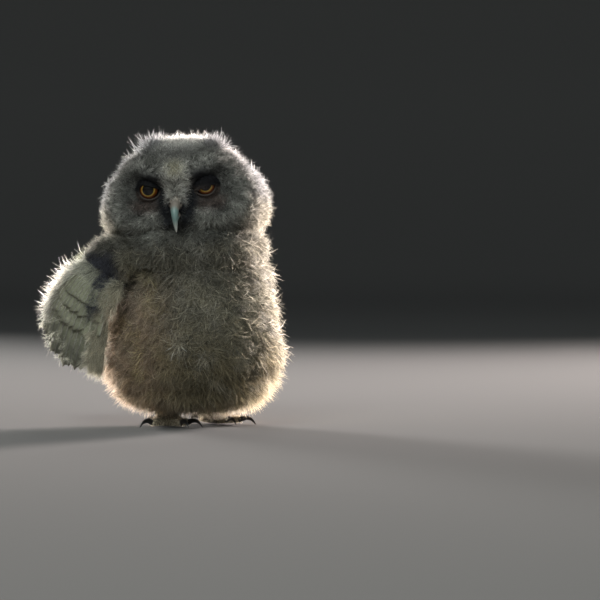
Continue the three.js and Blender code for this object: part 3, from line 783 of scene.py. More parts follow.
def lid_rings(side, word):
    """The lids in front of the ball, from their moist inner edge outwards."""
    angle = np.linspace(0, 2 * math.pi, 96, endpoint=False)
    across = LID_OPENING[0] * np.cos(angle) - side * 0.4
    up = LID_OPENING[1] * np.sin(angle) - 0.9
    heading = np.arctan2(up, across)
    top = LID_TOP[word] + LID_SLOPE * side * across
    start = np.stack([across, np.minimum(up, top)], axis=-1) / EYE_BALL
    end = math.sin(math.radians(86)) * np.stack([np.cos(heading), np.sin(heading)], axis=-1)
    rings = []
    for reach, height in LID_PROFILE:
        radius = EYE_BALL + IRIS["bulge"] * 0.35 * (1 - reach) + height
        spot = mix(start, end, reach)
        ahead = np.sqrt(1 - (spot**2).sum(axis=-1))
        rings.append(radius * np.stack([spot[:, 0], -ahead, spot[:, 1]], axis=-1))
    return from_head(np.array(rings) @ eye_axes(side).T + eye_centre(side))


def lids_mesh(side, word):
    """Both lids of an eye in one form."""
    rings = lid_rings(side, word)
    points = rings.reshape(-1, 3)
    mesh = make_mesh("eyelids", points, grid_faces(*rings.shape[:2]))
    store(mesh, "coat_colour", "FLOAT_COLOR", np.column_stack([lid_colour(points), np.ones(len(points))]))
    return mesh


def lid_feather_base(side, word):
    """The lids' outer part, as a base for their short dark feathers, which lie away from the eye."""
    rings = lid_rings(side, word)[2:]
    points = rings.reshape(-1, 3)
    mesh = make_mesh("lid_base", points, grid_faces(*rings.shape[:2]))
    forward = from_head((0, -1, 0)) - HEAD_AT
    centre = from_head(eye_centre(side)) + forward * 4
    share = np.repeat([0.8, 1, 1, 1, 1, 1], rings.shape[1])
    length = np.repeat([1.4, 1.8, 2.4, 3.0, 3.4, 3.4], rings.shape[1])
    dress(mesh, lid_colour(points), unit(points - centre), length, "on_lid", share)
    return mesh


def lid_colour(points):
    """Blackish above the eye and brown below it."""
    under = smooth(1, -4, to_head(points)[:, 2] - EYE[2])
    return mix(paint("lid"), paint("brown"), under[:, None])


def cere_mesh():
    """The soft skin at the bill's root, with a nostril on each side."""
    rings = ball(CERE["at"], CERE["radii"], CERE["turn"], 56, 64)
    points, faces = tube(rings)
    pit = np.zeros(len(points))
    for side in SIDES.values():
        away = np.linalg.norm((points - np.array(NOSTRIL) * (side, 1, 1)) / (1.6, 1.5, 1.0), axis=1)
        pit = np.maximum(pit, 1 - smooth(0.5, 1.25, away))
    centre = np.array(CERE["at"], float)
    points = points + (centre - points) * (0.24 * pit)[:, None]
    wrinkle = 0.12 * waves(points, 2.2, 8)
    points = points + unit(points - centre) * wrinkle[:, None]
    mesh = make_mesh("cere", from_head(points), faces)
    store(mesh, "pit", "FLOAT", pit)
    return mesh


def bristle_base():
    """The cere's back and sides, as a base for the bristles, which lie down and forward over it."""
    points, faces = tube(ball(CERE["at"], np.array(CERE["radii"]) - 0.3, CERE["turn"], 30, 36))
    mesh = make_mesh("bristle_base", from_head(points), faces)
    x, y, z = (points - np.array(CERE["at"], float)).T
    share = smooth(-2.6, -0.4, y) + 0.8 * smooth(0.5, 3, z) * smooth(-4.5, -1, y)
    way = np.column_stack([0.35 * np.sign(x), np.full(len(x), -0.55), np.full(len(x), -0.7)])
    top = smooth(-1, 2.5, z)
    paler = top * (1 - 0.5 * smooth(2, 4.5, np.abs(x)))
    colour = mix(paint("mask") * 2, paint("pale") * 0.8, paler[:, None])
    lie = from_head(way) - HEAD_AT
    dress(mesh, colour, unit(lie), mix(4.6, 6.0, top), "on_cere", np.clip(share, 0, 1))
    return mesh


def horn_mesh(name, forms):
    """One mesh of several horns; its map runs along and round each."""
    shapes, maps = [], []
    for rings in forms:
        shapes.append(tube(rings))
        rows, columns = rings.shape[:2]
        along, around = np.meshgrid(np.linspace(0, 1, rows), np.linspace(0, 1, columns), indexing="ij")
        maps.append(np.stack([along, around], axis=-1).reshape(-1, 2))
    points, faces = joined(shapes)
    return make_mesh(name, points, faces, np.concatenate(maps))


def claw_rings(side, turn, length):
    """A hooked claw from the end of its toe down to the floor."""
    ahead = toe_ahead(side, turn)
    root = np.array([side * LEG_SPREAD, LEG_Y, 0])
    path = [root + ahead * (length + reach) + (0, 0, z) for reach, z in CLAW_LINE]
    return horn(path, 1.55, 1.8, (-ahead[1], ahead[0], 0), steps=22, sides=16, bluntness=0.75, keel=0.12)


def ear_base(side, at, length):
    """A small mound on the crown, which carries an ear tuft."""
    points, faces = tube(ball(at, EAR["radii"]))
    mesh = make_mesh("ear_base", from_head(points), faces)
    up = from_head((side * 0.15, 0.1, 1)) - HEAD_AT
    top = smooth(-0.3, 0.5, (points - at)[:, 2] / EAR["radii"][2])
    dress(mesh, paint("crown"), unit(up), length, "on_ear", top)
    return mesh


# Wings and tail


def wing_reach(y, z):
    """How far out from the middle the wing lies at a place on the bird's side."""
    bend = WING_OVER["bend"] * (np.maximum(0, y - WING_OVER["bend_from"]) / WING_OVER["bend_over"]) ** 2
    return WING_OVER["out"] - bend - WING_OVER["curve"] * (z - WING_OVER["widest"]) ** 2


def wing_place(side, q, t, out):
    """A place on the wing: q counts across from the front edge, t runs from root to tip, out lifts it."""
    share = q / (WING_COUNT - 1)
    along = t * (1 + WING_ROUND * np.sin(math.pi * np.clip(share, 0, 1)))
    root = mix(WING_ROOTS[0], WING_ROOTS[1], share[..., None])
    tip = mix(WING_TIPS[0], WING_TIPS[1], share[..., None])
    spot = mix(root, tip, along[..., None])
    lifted = spot[..., 1] + WING_BOW * 4 * t * (1 - t)
    return np.stack([side * (wing_reach(spot[..., 0], lifted) + out), spot[..., 0], lifted], axis=-1)


def tail_place(q, t, out):
    """A place on the tail, counted and lifted alike, from the bird's right to its left."""
    s = 2 * q / (TAIL_COUNT - 1) - 1
    root = np.stack([s * 7, np.full_like(s, 78.0), 51 - 2 * np.abs(s)], axis=-1)
    tip = np.stack([s * 15.5, 118 - 7 * np.abs(s), 38 - 4 * np.abs(s)], axis=-1)
    spot = mix(root, tip, t[..., None])
    spot[..., 2] += out
    return spot


def feather(place, q, half, length, lift, tilt, rng, sunk=0, camber=0.5, rows=24):
    """A vane and its raised shaft, as two forms with their maps, bent over a place function."""
    along = np.linspace(0, 1, rows)
    edge = np.linspace(-1, 1, FEATHER_COLUMNS)
    middle = FEATHER_COLUMNS // 2
    width = half * np.interp(along, VANE_ALONG, VANE_WIDTH)
    ragged = np.ones((rows, 2))
    for _ in range(4):
        ragged[rng.integers(rows // 3, rows - 1), rng.integers(0, 2)] = rng.uniform(0.72, 0.9)
    wide = width[:, None] * np.where(edge[None] < 0, ragged[:, :1], ragged[:, 1:])
    aside = edge[None] * wide
    t = (along[:, None] + 0.03 * np.abs(edge)[None] * smooth(0, 0.2, along)[:, None]) * length
    t = np.minimum(t, length * (1.0 - 0.05 * np.abs(edge)[None] ** 2))
    out = lift - sunk * (1 - smooth(0, 0.22, t)) - aside * tilt + camber * (1 - edge[None] ** 2)
    points = place(q + aside, t, out)
    reach = np.concatenate([[0], np.cumsum(np.linalg.norm(np.diff(points[:, middle], axis=0), axis=1))]) / 100
    uv = np.stack(np.broadcast_arrays(reach[:, None], edge[None] / 2 + 0.5), axis=-1)
    vane = (points.reshape(-1, 3), grid_faces(rows, FEATHER_COLUMNS, closed=False)), uv.reshape(-1, 2)
    thin = 0.06 * (1 - 0.75 * along)[:, None] * np.array([-1.0, 0.0, 1.0])
    raised = out[:, middle][:, None] + 0.55 * (1 - 0.6 * along)[:, None] * np.array([0.0, 1.0, 0.0])
    ridge = place(q + thin, np.tile((along * length * 0.985)[:, None], (1, 3)), raised)
    shaft_uv = np.stack([np.tile(reach[:, None], (1, 3)), np.full((rows, 3), 0.5)], axis=-1)
    shaft = (ridge.reshape(-1, 3), grid_faces(rows, 3, closed=False)), shaft_uv.reshape(-1, 2)
    return vane, shaft


def feathers_mesh(name, feathers, thickness=0.00022):
    """All feathers of a wing or tail as one mesh: vanes in the first material, shafts in the second."""
    vanes = [vane for vane, _ in feathers]
    shafts = [shaft for _, shaft in feathers]
    points, faces = joined([form for form, _ in vanes + shafts])
    uv = np.concatenate([uv for _, uv in vanes + shafts])
    mesh = make_mesh(name, points, faces, uv)
    count = sum(len(form[1]) for form, _ in vanes)
    mesh.polygons.foreach_set("material_index", np.repeat([0, 1], [count, len(faces) - count]))
    rng = np.random.default_rng(len(points))
    tones = [np.full(len(form[0]), rng.uniform()) for form, _ in vanes + shafts]
    store(mesh, "tone", "FLOAT", np.concatenate(tones))
    sheet = add_object(name, mesh)
    wall = sheet.modifiers.new("thickness", "SOLIDIFY")
    wall.thickness = thickness
    wall.offset = 0
    return baked(sheet, name)


# vanes, first place, last place, half width, length, lift
WING_TIERS = [
    (11, 0, 8, 0.95, 1.0, 0),
    (11, -0.3, 7.8, 0.88, 0.7, 1.8),
    (11, -0.2, 7.4, 0.84, 0.53, 3.0),
    (10, 0.2, 6.8, 0.84, 0.39, 4.0),
]
VANE_TILT = 0.95


def wing_feathers(side, seed):
    """All feathers of one wing, row over row."""

    def place(across, t, out):
        return wing_place(side, across, t, out)

    rng = np.random.default_rng(seed)
    made = []
    for count, first, last, half, length, lift in WING_TIERS:
        for q in np.linspace(first, last, count):
            reach = length * rng.uniform(0.96, 1.03)
            aside = q + rng.normal(0, 0.03)
            made.append(feather(place, aside, half, reach, lift, VANE_TILT, rng, WING_ROOT))
    return made


def tail_feathers(seed):
    """All feathers of the tail, from the bird's right to its left."""
    rng = np.random.default_rng(seed)
    middle = (TAIL_COUNT - 1) / 2
    made = []
    for i in range(TAIL_COUNT):
        inner = abs(i - middle)
        level = inner < 1
        tilt = 0 if level else np.sign(middle - i) * VANE_TILT * 0.6
        lift = (1.5 if i < middle else 2.2) if level else 0.9 - 0.18 * inner
        made.append(feather(tail_place, float(i), 1.15, rng.uniform(0.95, 1.0), lift, tilt, rng))
    return made


def dress(mesh, colour, lie, length, region, share):
    """Gives a base for down its colour, lie, length and share, one value or row for each point."""
    count = len(mesh.vertices)
    colour = np.column_stack([np.broadcast_to(colour, (count, 3)), np.ones(count)])
    store(mesh, "coat_colour", "FLOAT_COLOR", colour)
    store(mesh, "coat_lie", "FLOAT_VECTOR", np.broadcast_to(lie, (count, 3)))
    store(mesh, "coat_length", "FLOAT", np.broadcast_to(length, (count,)) / 1000)
    store(mesh, region, "FLOAT", np.broadcast_to(share, (count,)))


def wing_fluff_base(side):
    """The wing's outer surface, which carries the down that still clings to its feathers."""
    across, along = np.meshgrid(np.linspace(-1.6, 8.8, 64), np.linspace(-0.04, 0.98, 60), indexing="ij")
    slanted = across + 4 * along
    band = smooth(-0.6, 0.4, slanted) * (1 - smooth(3, 4.2, slanted)) * (1 - smooth(0.42, 0.6, along))
    lift = np.interp(along, [0, 0.3, 0.5, 0.7, 1], [0.5, 1.9, 1.8, 1.0, 0.2]) - 2.5 * smooth(0, -1.5, across)
    lift = lift + 2.4 * band * smooth(0, 0.15, along)
    place = wing_place(side, across, along, lift)
    lie = (wing_place(side, across, along + 0.02, lift) - place).reshape(-1, 3)
    points = place.reshape(-1, 3)
    faces = grid_faces(64, 60, closed=False)
    if side < 0:
        faces = faces[:, ::-1]
    mesh = make_mesh("wing_fluff", points, faces)
    q, t, band = across.ravel(), along.ravel(), band.ravel()
    front = smooth(0.6, -0.5, q + 0.5 * waves(points, 9, 13))
    back = smooth(6.6, 8.2, q) * smooth(1.0, 0.7, t)
    lie = unit(lie) + np.array([side * 0.5, 0.9, 0.1]) * back[:, None]
    top = 1 - smooth(0.1, 0.34, t + 0.05 * waves(points, 14, 11))
    share = np.clip(top + 0.04 + front + 0.35 * back + 0.9 * band, 0, 1)
    colour = mix(mix(paint("feather"), paint("pale"), 0.45), paint("slate"), band[:, None])
    # Painted light: the down at the wing's front edge takes a lighter breast colour, which lifts the shade in
    # the crevice between wing and body
    colour = mix(colour, paint("breast") * 1.3, front[:, None])
    colour = mix(colour, paint("pale"), 0.5 * back[:, None])
    length = mix(7.2, 6, smooth(0.3, 0.9, t)) * (1 - 0.5 * band) + 4 * back + 2 * front
    dress(mesh, colour, unit(lie), length, "on_wing", share)
    return mesh


# Down: tufts of fine blades, set on the skin by nodes

# Kinds of tuft: how many, seed, blades, width, rise, spread, curl, splay and joints
TUFTS = {
    "body": (24, 100, 9, 0.023, (68, 18), 0.35, 0.6, 0.3, 2),
    "hem": (20, 150, 9, 0.023, (84, 66), 0.8, 0.8, 0.3, 2),
    "head": (24, 200, 9, 0.03, (70, 12), 0.6, 1.0, 0.32, 2),
    "face": (20, 300, 6, 0.045, (50, 12), 0.35, 0.6, 0.3, 2),
    "foot": (12, 400, 5, 0.055, (50, 12), 0.3, 0.4, 0.3, 2),
    "fluff": (14, 500, 6, 0.024, (38, 10), 0.5, 0.6, 0.35, 2),
    "ear_down": (14, 600, 6, 0.024, (84, 40), 1.5, 1.4, 0.4, 3),
    "wisp": (24, 700, 3, 0.024, (74, 20), 1.0, 1.5, 0.4, 3),
    "lid": (10, 800, 4, 0.1, (40, 10), 0.2, 0.2, 0.3, 2),
    "bristle": (12, 900, 3, 0.035, (30, 14), 0.3, 0.4, 0.25, 2),
}
# Regions of the skin: kind of tuft, share of the set density, finish, middle of the colour map
COAT = {
    "crown": ("head", 1.6, "head_down", HEAD_AT),
    "nape_left": ("head", 0.62, "head_down", HEAD_AT),
    "nape_right": ("head", 0.62, "head_down", HEAD_AT),
    "face": ("face", 1.4, "face_down", HEAD_AT),
    "breast": ("body", 0.75, "body_down", BODY_MIDDLE),
    "belly": ("body", 0.75, "body_down", BODY_MIDDLE),
    "flank_left": ("body", 0.62, "body_down", BODY_MIDDLE),
    "flank_right": ("body", 0.62, "body_down", BODY_MIDDLE),
    "back": ("body", 0.42, "body_down", BODY_MIDDLE),
    "underside": ("hem", 0.45, "body_down", BODY_MIDDLE),
    "leg_left": ("foot", 1.8, "face_down", (LEG_SPREAD, LEG_Y, 9)),
    "leg_right": ("foot", 1.8, "face_down", (-LEG_SPREAD, LEG_Y, 9)),
    "body_wisps": ("wisp", 0.25, "wisp_down", BODY_MIDDLE),
    "head_wisps": ("wisp", 0.8, "wisp_down", HEAD_AT),
}


def tuft_kind(name, seed, blades, width, rise, spread, curl, splay, joints):
    """One tuft of unit length: +Z stands out from the skin and +X is the lie.

    rise holds the angle from the skin at the root and at the tip; spread and curl turn the whole
    tuft, and splay parts its blades.
    """
    rng = np.random.default_rng(seed)
    points, faces, tip, patch = [], [], [], []
    turn, bend = rng.normal(0, spread), rng.normal(0, curl)
    for blade in range(blades):
        heading = turn + rng.normal(0, splay)
        swing = bend + rng.normal(0, splay)
        lift = rng.normal(0, 0.5 * splay)
        length = rng.uniform(0.6, 1.05)
        place = np.array([rng.normal(0, 0.08), rng.normal(0, 0.08), 0.0])
        roll = rng.uniform(-1, 1)
        start = len(points)
        for joint in range(joints + 1):
            share = joint / joints
            angle = math.radians(mix(rise[0], rise[1], share)) + lift
            aside = heading + swing * share
            level = math.cos(angle)
            way = np.array([level * math.cos(aside), level * math.sin(aside), math.sin(angle)])
            if joint:
                place = place + way * length / joints
            side = unit(np.cross(way, [0, roll, 1])) * width * mix(1, 0.75, share) / 2
            ends = [place] if joint == joints else [place - side, place + side]
            for i, point in enumerate(ends):
                points.append(point)
                tip.append(share)
                patch.append(((share - 0.5) * PATCH, ((blade + i) / blades - 0.5) * PATCH, 0))
        for joint in range(joints - 1):
            a = start + 2 * joint
            faces.append((a, a + 1, a + 3, a + 2))
        last = start + 2 * (joints - 1)
        faces.append((last, last + 1, last + 2))
    mesh = bpy.data.meshes.new(name)
    mesh.from_pydata([tuple(p) for p in points], [], faces)
    store(mesh, "tip", "FLOAT", tip)
    store(mesh, "patch", "FLOAT_VECTOR", patch)
    return bpy.data.objects.new(name, mesh)


def tuft_kinds(name):
    """A collection of differing tufts of one character."""
    count, seed, *shape = TUFTS[name]
    kinds = bpy.data.collections.new(name)
    bpy.context.scene.collection.children.link(kinds)
    for i in range(count):
        kinds.objects.link(tuft_kind(f"{name}_{i}", seed + i, *shape))
    return kinds


def drop_kinds(kinds):
    """Takes tufts away again when the coat has been grown with them."""
    for piece in list(kinds.objects):
        bpy.data.objects.remove(piece)
    bpy.data.collections.remove(kinds)


COAT_INPUTS = {
    "Geometry": ("Geometry", None),
    "Kinds": ("Collection", None),
    "Region": ("String", ""),
    "Density": ("Float", 1e6),
    "Variation": ("Float", 0.25),
    "Stray": ("Vector", (0.3, 0.3, 0.6)),
    "Middle": ("Vector", (0, 0, 0)),
    "Seed": ("Int", 1),
    "Material": ("Material", None),
}


def named(tree, name, kind):
    """A value stored on the form under a name."""
    return result(put(tree, "GeometryNodeInputNamedAttribute", {"Name": name}, data_type=kind))


def stored(tree, form, name, value, kind, domain="POINT"):
    """The form with a value stored on it under a name."""
    inputs = {"Geometry": form, "Name": name, "Value": value}
    return result(put(tree, "GeometryNodeStoreNamedAttribute", inputs, data_type=kind, domain=domain))


def chance(tree, kind, low, high, seed, salt):
    """A random value for each tuft; salt keeps the draws of one seed apart."""
    inputs = {"Min": low, "Max": high, "Seed": math_node(tree, "ADD", seed, salt)}
    return result(put(tree, "FunctionNodeRandomValue", inputs, data_type=kind))


def root_map(tree, middle):
    """Each root's place on an unwrap round the middle of the form."""
    arm = vector_node(tree, "SUBTRACT", result(put(tree, "GeometryNodeInputPosition")), middle)
    parts = put(tree, "ShaderNodeSeparateXYZ", [vector_node(tree, "NORMALIZE", arm)])
    forward = math_node(tree, "MULTIPLY", parts.outputs["Y"], -1.0)
    turn = math_node(tree, "ARCTAN2", parts.outputs["X"], forward)
    fall = math_node(tree, "ARCCOSINE", parts.outputs["Z"])
    u = math_node(tree, "MULTIPLY_ADD", turn, 0.98 / (2 * math.pi), 0.5)
    v = math_node(tree, "MULTIPLY_ADD", fall, 0.98 / math.pi, 0.01)
    return result(put(tree, "ShaderNodeCombineXYZ", [u, v]))


def tuft_turn(tree, normal, given):
    """How each tuft stands: out from the skin, along the lie, and a little astray."""
    axes = {"Primary Axis": normal, "Secondary Axis": named(tree, "coat_lie", "FLOAT_VECTOR")}
    stand = put(tree, "FunctionNodeAxesToRotation", axes, primary_axis="Z", secondary_axis="X")
    least = scaled(tree, given["Stray"], -1.0)
    angles = chance(tree, "FLOAT_VECTOR", least, given["Stray"], given["Seed"], 5)
    stray = result(put(tree, "FunctionNodeEulerToRotation", [angles]))
    turns = {"Rotation": result(stand), "Rotate By": stray}
    return result(put(tree, "FunctionNodeRotateRotation", turns, rotation_space="LOCAL"))


def tuft_size(tree, given):
    """Each tuft's length, varied by chance."""
    shortest = math_node(tree, "SUBTRACT", 1.0, given["Variation"])
    longest = math_node(tree, "ADD", 1.0, given["Variation"])
    share = chance(tree, "FLOAT", shortest, longest, given["Seed"], 7)
    return math_node(tree, "MULTIPLY", named(tree, "coat_length", "FLOAT"), share)


def coat_tree():
    """Sets tufts over a surface along its lie and gives each a patch on the colour map."""
    tree = bpy.data.node_groups.new("down_coat", "GeometryNodeTree")
    start, end = add_sockets(tree, COAT_INPUTS, {"Geometry": "Geometry"})
    given = {s.name: s for s in start.outputs}
    seed = given["Seed"]
    density = math_node(tree, "MULTIPLY", named(tree, given["Region"], "FLOAT"), given["Density"])
    ground = {"Mesh": given["Geometry"], "Density": density, "Seed": seed}
    scatter = put(tree, "GeometryNodeDistributePointsOnFaces", ground, distribute_method="RANDOM")
    roots = scatter.outputs["Points"]
    roots = stored(tree, roots, "root_place", root_map(tree, given["Middle"]), "FLOAT_VECTOR")
    roots = stored(tree, roots, "tone", chance(tree, "FLOAT", 0.0, 1.0, seed, 3), "FLOAT")
    kinds = {"Collection": given["Kinds"], "Separate Children": True, "Reset Children": True}
    tufts = put(
        tree,
        "GeometryNodeInstanceOnPoints",
        {
            "Points": roots,
            "Instance": result(put(tree, "GeometryNodeCollectionInfo", kinds)),
            "Pick Instance": True,
            "Instance Index": chance(tree, "INT", 0, 1000, seed, 9),
            "Rotation": tuft_turn(tree, scatter.outputs["Normal"], given),
            "Scale": tuft_size(tree, given),
        },
    )
    coat = result(put(tree, "GeometryNodeRealizeInstances", {"Geometry": result(tufts)}))
    spot = [named(tree, name, "FLOAT_VECTOR") for name in ("root_place", "patch")]
    coat = stored(tree, coat, "OFBake", vector_node(tree, "ADD", *spot), "FLOAT2", "CORNER")
    for spare in ("root_place", "patch", "coat_lie", "coat_length"):
        coat = result(put(tree, "GeometryNodeRemoveAttribute", {"Geometry": coat, "Name": spare}))
    finished = put(tree, "GeometryNodeSetMaterial", {"Geometry": coat, "Material": given["Material"]})
    tree.links.new(result(finished), end.inputs[0])
    return tree


def down_piece(name, base, tree, nodes=(), slot="down", **values):
    """Grows one piece of the coat on a copy of the base."""
    grown = add_object(name + "_base", base.data.copy())
    for attribute in list(grown.data.attributes):
        if attribute.name.startswith("on_") and attribute.name != values["region"]:
            grown.data.attributes.remove(attribute)
    modify(grown, tree, **values)
    piece = add_object(name, baked(grown, name))
    if values["region"] in piece.data.attributes:
        piece.data.attributes.remove(piece.data.attributes[values["region"]])
    settle(piece, slot, *nodes)
    return piece


def down_on(name, mesh, **values):
    """Grows one piece of the coat on a base of its own, which is then taken away."""
    base = add_object(name + "_ground", mesh)
    down_piece(name, base, bpy.data.node_groups["down_coat"], **values)
    bpy.data.objects.remove(base)


# Materials


def new_material(name, **values):
    """A material whose Principled shader takes the given values."""
    material = bpy.data.materials.new(name)
    material.use_nodes = True
    shader = material.node_tree.nodes["Principled BSDF"]
    for key, value in values.items():
        shader.inputs[key.replace("_", " ")].default_value = value
    return material, material.node_tree, shader


def strand_group():
    """Darkens a strand towards its root, painted shade deep in the coat, and lightens it towards its tip, the
    down's own whitish tip; each tuft in a tone of its own.
    """
    tree = bpy.data.node_groups.new("strand_shade", "ShaderNodeTree")
    start, end = add_sockets(
        tree,
        {
            "Colour": ("Color", (0.5, 0.5, 0.5, 1)),
            "Along": ("Float", 0.5),
            "Tone": ("Float", 0.5),
            "Root": ("Float", 0.4),
            "Tip": ("Float", 1.3),
            "Range": ("Float", 0.3),
        },
        {"Colour": "Color"},
    )
    given = {s.name: s for s in start.outputs}
    # Painted shade: the colour is darkest at the root, where the coat is deepest; the lighter tip is the
    # down's own whitish tip
    reach = math_node(tree, "SUBTRACT", given["Tip"], given["Root"])
    light = math_node(tree, "MULTIPLY_ADD", given["Along"], reach, given["Root"])
    swing = math_node(tree, "SUBTRACT", given["Tone"], 0.5)
    tone = math_node(tree, "MULTIPLY_ADD", swing, given["Range"], 1.0)
    shade = scaled(tree, given["Colour"], math_node(tree, "MULTIPLY", light, tone))
    tree.links.new(vector_node(tree, "MINIMUM", shade, (0.9, 0.9, 0.9)), end.inputs["Colour"])
    return tree


def attribute_node(tree, name):
    return put(tree, "ShaderNodeAttribute", attribute_name=name)


def object_place(tree):
    return put(tree, "ShaderNodeTexCoord").outputs["Object"]


def map_place(tree):
    return put(tree, "ShaderNodeUVMap", uv_map="surface").outputs["UV"]


def noise(tree, place, scale, detail):
    """Fine grain over a surface, from 0 to 1."""
    return put(tree, "ShaderNodeTexNoise", {"Vector": place, "Scale": scale, "Detail": detail}).outputs[0]


def ranged(tree, value, low=0.0, high=1.0, start=0.0, end=1.0):
    """Carries a value from low and high over to start and end, and stops there."""
    inputs = {"Value": value, "From Min": low, "From Max": high, "To Min": start, "To Max": end}
    return put(tree, "ShaderNodeMapRange", inputs).outputs["Result"]


def blended(tree, share, first, second):
    """Mixes two colours, joined or given, by a share."""
    node = put(tree, "ShaderNodeMix", data_type="RGBA")
    sockets = [next(s for s in node.inputs if s.name == name and s.enabled) for name in ("Factor", "A", "B")]
    for socket, value in zip(sockets, (share, first, second)):
        if isinstance(value, bpy.types.NodeSocket):
            tree.links.new(value, socket)
        else:
            socket.default_value = (*value, 1)
    return result(node)


def roughen(tree, shader, height, strength, depth):
    """Gives a finish its fine relief."""
    raised = put(tree, "ShaderNodeBump", {"Height": height, "Strength": strength, "Distance": depth})
    tree.links.new(raised.outputs["Normal"], shader.inputs["Normal"])


def let_through(tree, shader, colour, share):
    """Lets a share of the light pass through a thin vane or strand."""
    through = put(tree, "ShaderNodeBsdfTranslucent", {"Color": colour})
    blend = put(tree, "ShaderNodeMixShader", [share, shader.outputs["BSDF"], through.outputs["BSDF"]])
    tree.links.new(blend.outputs["Shader"], tree.nodes["Material Output"].inputs["Surface"])


def strand_material(name, root, tip, sway, glow):
    """Down: rough, with some light passing through each strand, and painted shade towards its root."""
    material, tree, shader = new_material(name, Roughness=0.85, Specular_IOR_Level=0.25)
    shade = put(
        tree,
        "ShaderNodeGroup",
        {
            "Colour": attribute_node(tree, "coat_colour").outputs["Color"],
            "Along": attribute_node(tree, "tip").outputs["Fac"],
            "Tone": attribute_node(tree, "tone").outputs["Fac"],
            "Root": root,
            "Tip": tip,
            "Range": sway,
        },
        node_tree=bpy.data.node_groups["strand_shade"],
    )
    tree.links.new(shade.outputs["Colour"], shader.inputs["Base Color"])
    let_through(tree, shader, shade.outputs["Colour"], glow)
    return material


def skin_material():
    """Grey, finely wrinkled skin, darker than the down over it."""
    material, tree, shader = new_material("skin", Roughness=0.8)
    grain = noise(tree, object_place(tree), 900.0, 4.0)
    colour = attribute_node(tree, "coat_colour").outputs["Color"]
    dark = scaled(tree, colour, math_node(tree, "MULTIPLY_ADD", grain, 0.3, 0.22))
    tree.links.new(dark, shader.inputs["Base Color"])
    roughen(tree, shader, grain, 0.4, 0.0004)
    return material


def eye_material():
    """Black pupil in an iris that runs from yellow to orange, under a wet cornea; the iris has a faint
    painted glow.
    """
    material, tree, shader = new_material("eye", Roughness=0.5, Coat_Weight=1.0, Coat_Roughness=0.02)
    shader.inputs["Specular IOR Level"].default_value = 0.1
    # Painted glow: the iris gives off a little light in its own colour
    shader.inputs["Emission Strength"].default_value = 0.03
    arm = vector_node(tree, "SUBTRACT", map_place(tree), (0.5, 0.5, 0))
    reach = put(tree, "ShaderNodeVectorMath", [arm], operation="LENGTH").outputs["Value"]
    away = math_node(tree, "MULTIPLY", reach, 20.0)
    fibre = noise(tree, vector_node(tree, "NORMALIZE", arm), 22.0, 3.0)
    swing = math_node(tree, "MULTIPLY_ADD", fibre, 0.5, -0.25)
    ring = ranged(tree, away, IRIS["pupil"], IRIS["radius"])
    ramp = put(tree, "ShaderNodeValToRGB", [math_node(tree, "ADD", ring, swing)])
    inner, outer = paint("iris"), paint("iris_edge")
    fill_ramp(ramp.color_ramp, [(0, inner * 0.4), (0.3, inner * 0.5), (0.55, outer * 0.5), (1, outer * 0.3)])
    pupil = ranged(tree, away, IRIS["pupil"] - 0.15, IRIS["pupil"] + 0.2)
    rim = ranged(tree, away, IRIS["radius"] + 0.4, IRIS["radius"] - 0.1)
    shade = scaled(tree, ramp.outputs["Color"], math_node(tree, "MULTIPLY", pupil, rim))
    tree.links.new(shade, shader.inputs["Base Color"])
    tree.links.new(shade, shader.inputs["Emission Color"])
    return material


def fill_ramp(ramp, stops):
    """Sets a colour ramp's stops, as (place, colour)."""
    while len(ramp.elements) < len(stops):
        ramp.elements.new(0.5)
    for element, (place, colour) in zip(ramp.elements, stops):
        element.position = place
        element.color = (*np.clip(colour, 0, 1), 1)


def lid_material():
    """Dark, finely wrinkled skin of uneven roughness."""
    material, tree, shader = new_material("lid", Roughness=0.7, Specular_IOR_Level=0.2)
    shade = scaled(tree, attribute_node(tree, "coat_colour").outputs["Color"], 0.3)
    tree.links.new(shade, shader.inputs["Base Color"])
    grain = noise(tree, object_place(tree), 1500.0, 4.0)
    tree.links.new(ranged(tree, grain, start=0.6, end=0.9), shader.inputs["Roughness"])
    roughen(tree, shader, grain, 0.6, 0.0003)
    return material


def horn_material(name, stops, roughness, streak):
    """Layered horn: colour along its length, with fine lengthwise streaks."""
    material, tree, shader = new_material(name, Roughness=roughness, Coat_Weight=0.15, Coat_Roughness=0.25)
    place = map_place(tree)
    along = put(tree, "ShaderNodeSeparateXYZ", [place]).outputs["X"]
    grain = noise(tree, vector_node(tree, "MULTIPLY", place, (3.0, 40.0, 1.0)), 1.5, 4.0)
    swing = math_node(tree, "MULTIPLY_ADD", grain, 0.16, -0.08)
    ramp = put(tree, "ShaderNodeValToRGB", [math_node(tree, "ADD", along, swing)])
    fill_ramp(ramp.color_ramp, stops)
    light = math_node(tree, "MULTIPLY_ADD", grain, streak, 1 - streak / 2)
    tree.links.new(scaled(tree, ramp.outputs["Color"], light), shader.inputs["Base Color"])
    shine = math_node(tree, "MULTIPLY_ADD", grain, 0.25, roughness - 0.12)
    tree.links.new(shine, shader.inputs["Roughness"])
    roughen(tree, shader, grain, 0.25, 0.0003)
    return material


def cere_material():
    """Grey-beige skin with dark nostrils."""
    material, tree, shader = new_material("cere", Roughness=0.55)
    grain = noise(tree, object_place(tree), 700.0, 5.0)
    pit = math_node(tree, "MULTIPLY_ADD", attribute_node(tree, "pit").outputs["Fac"], -0.92, 1.0)
    light = math_node(tree, "MULTIPLY", math_node(tree, "MULTIPLY_ADD", grain, 0.6, 0.7), pit)
    tree.links.new(scaled(tree, tuple(paint("cere")), light), shader.inputs["Base Color"])
    roughen(tree, shader, grain, 0.5, 0.0004)
    return material


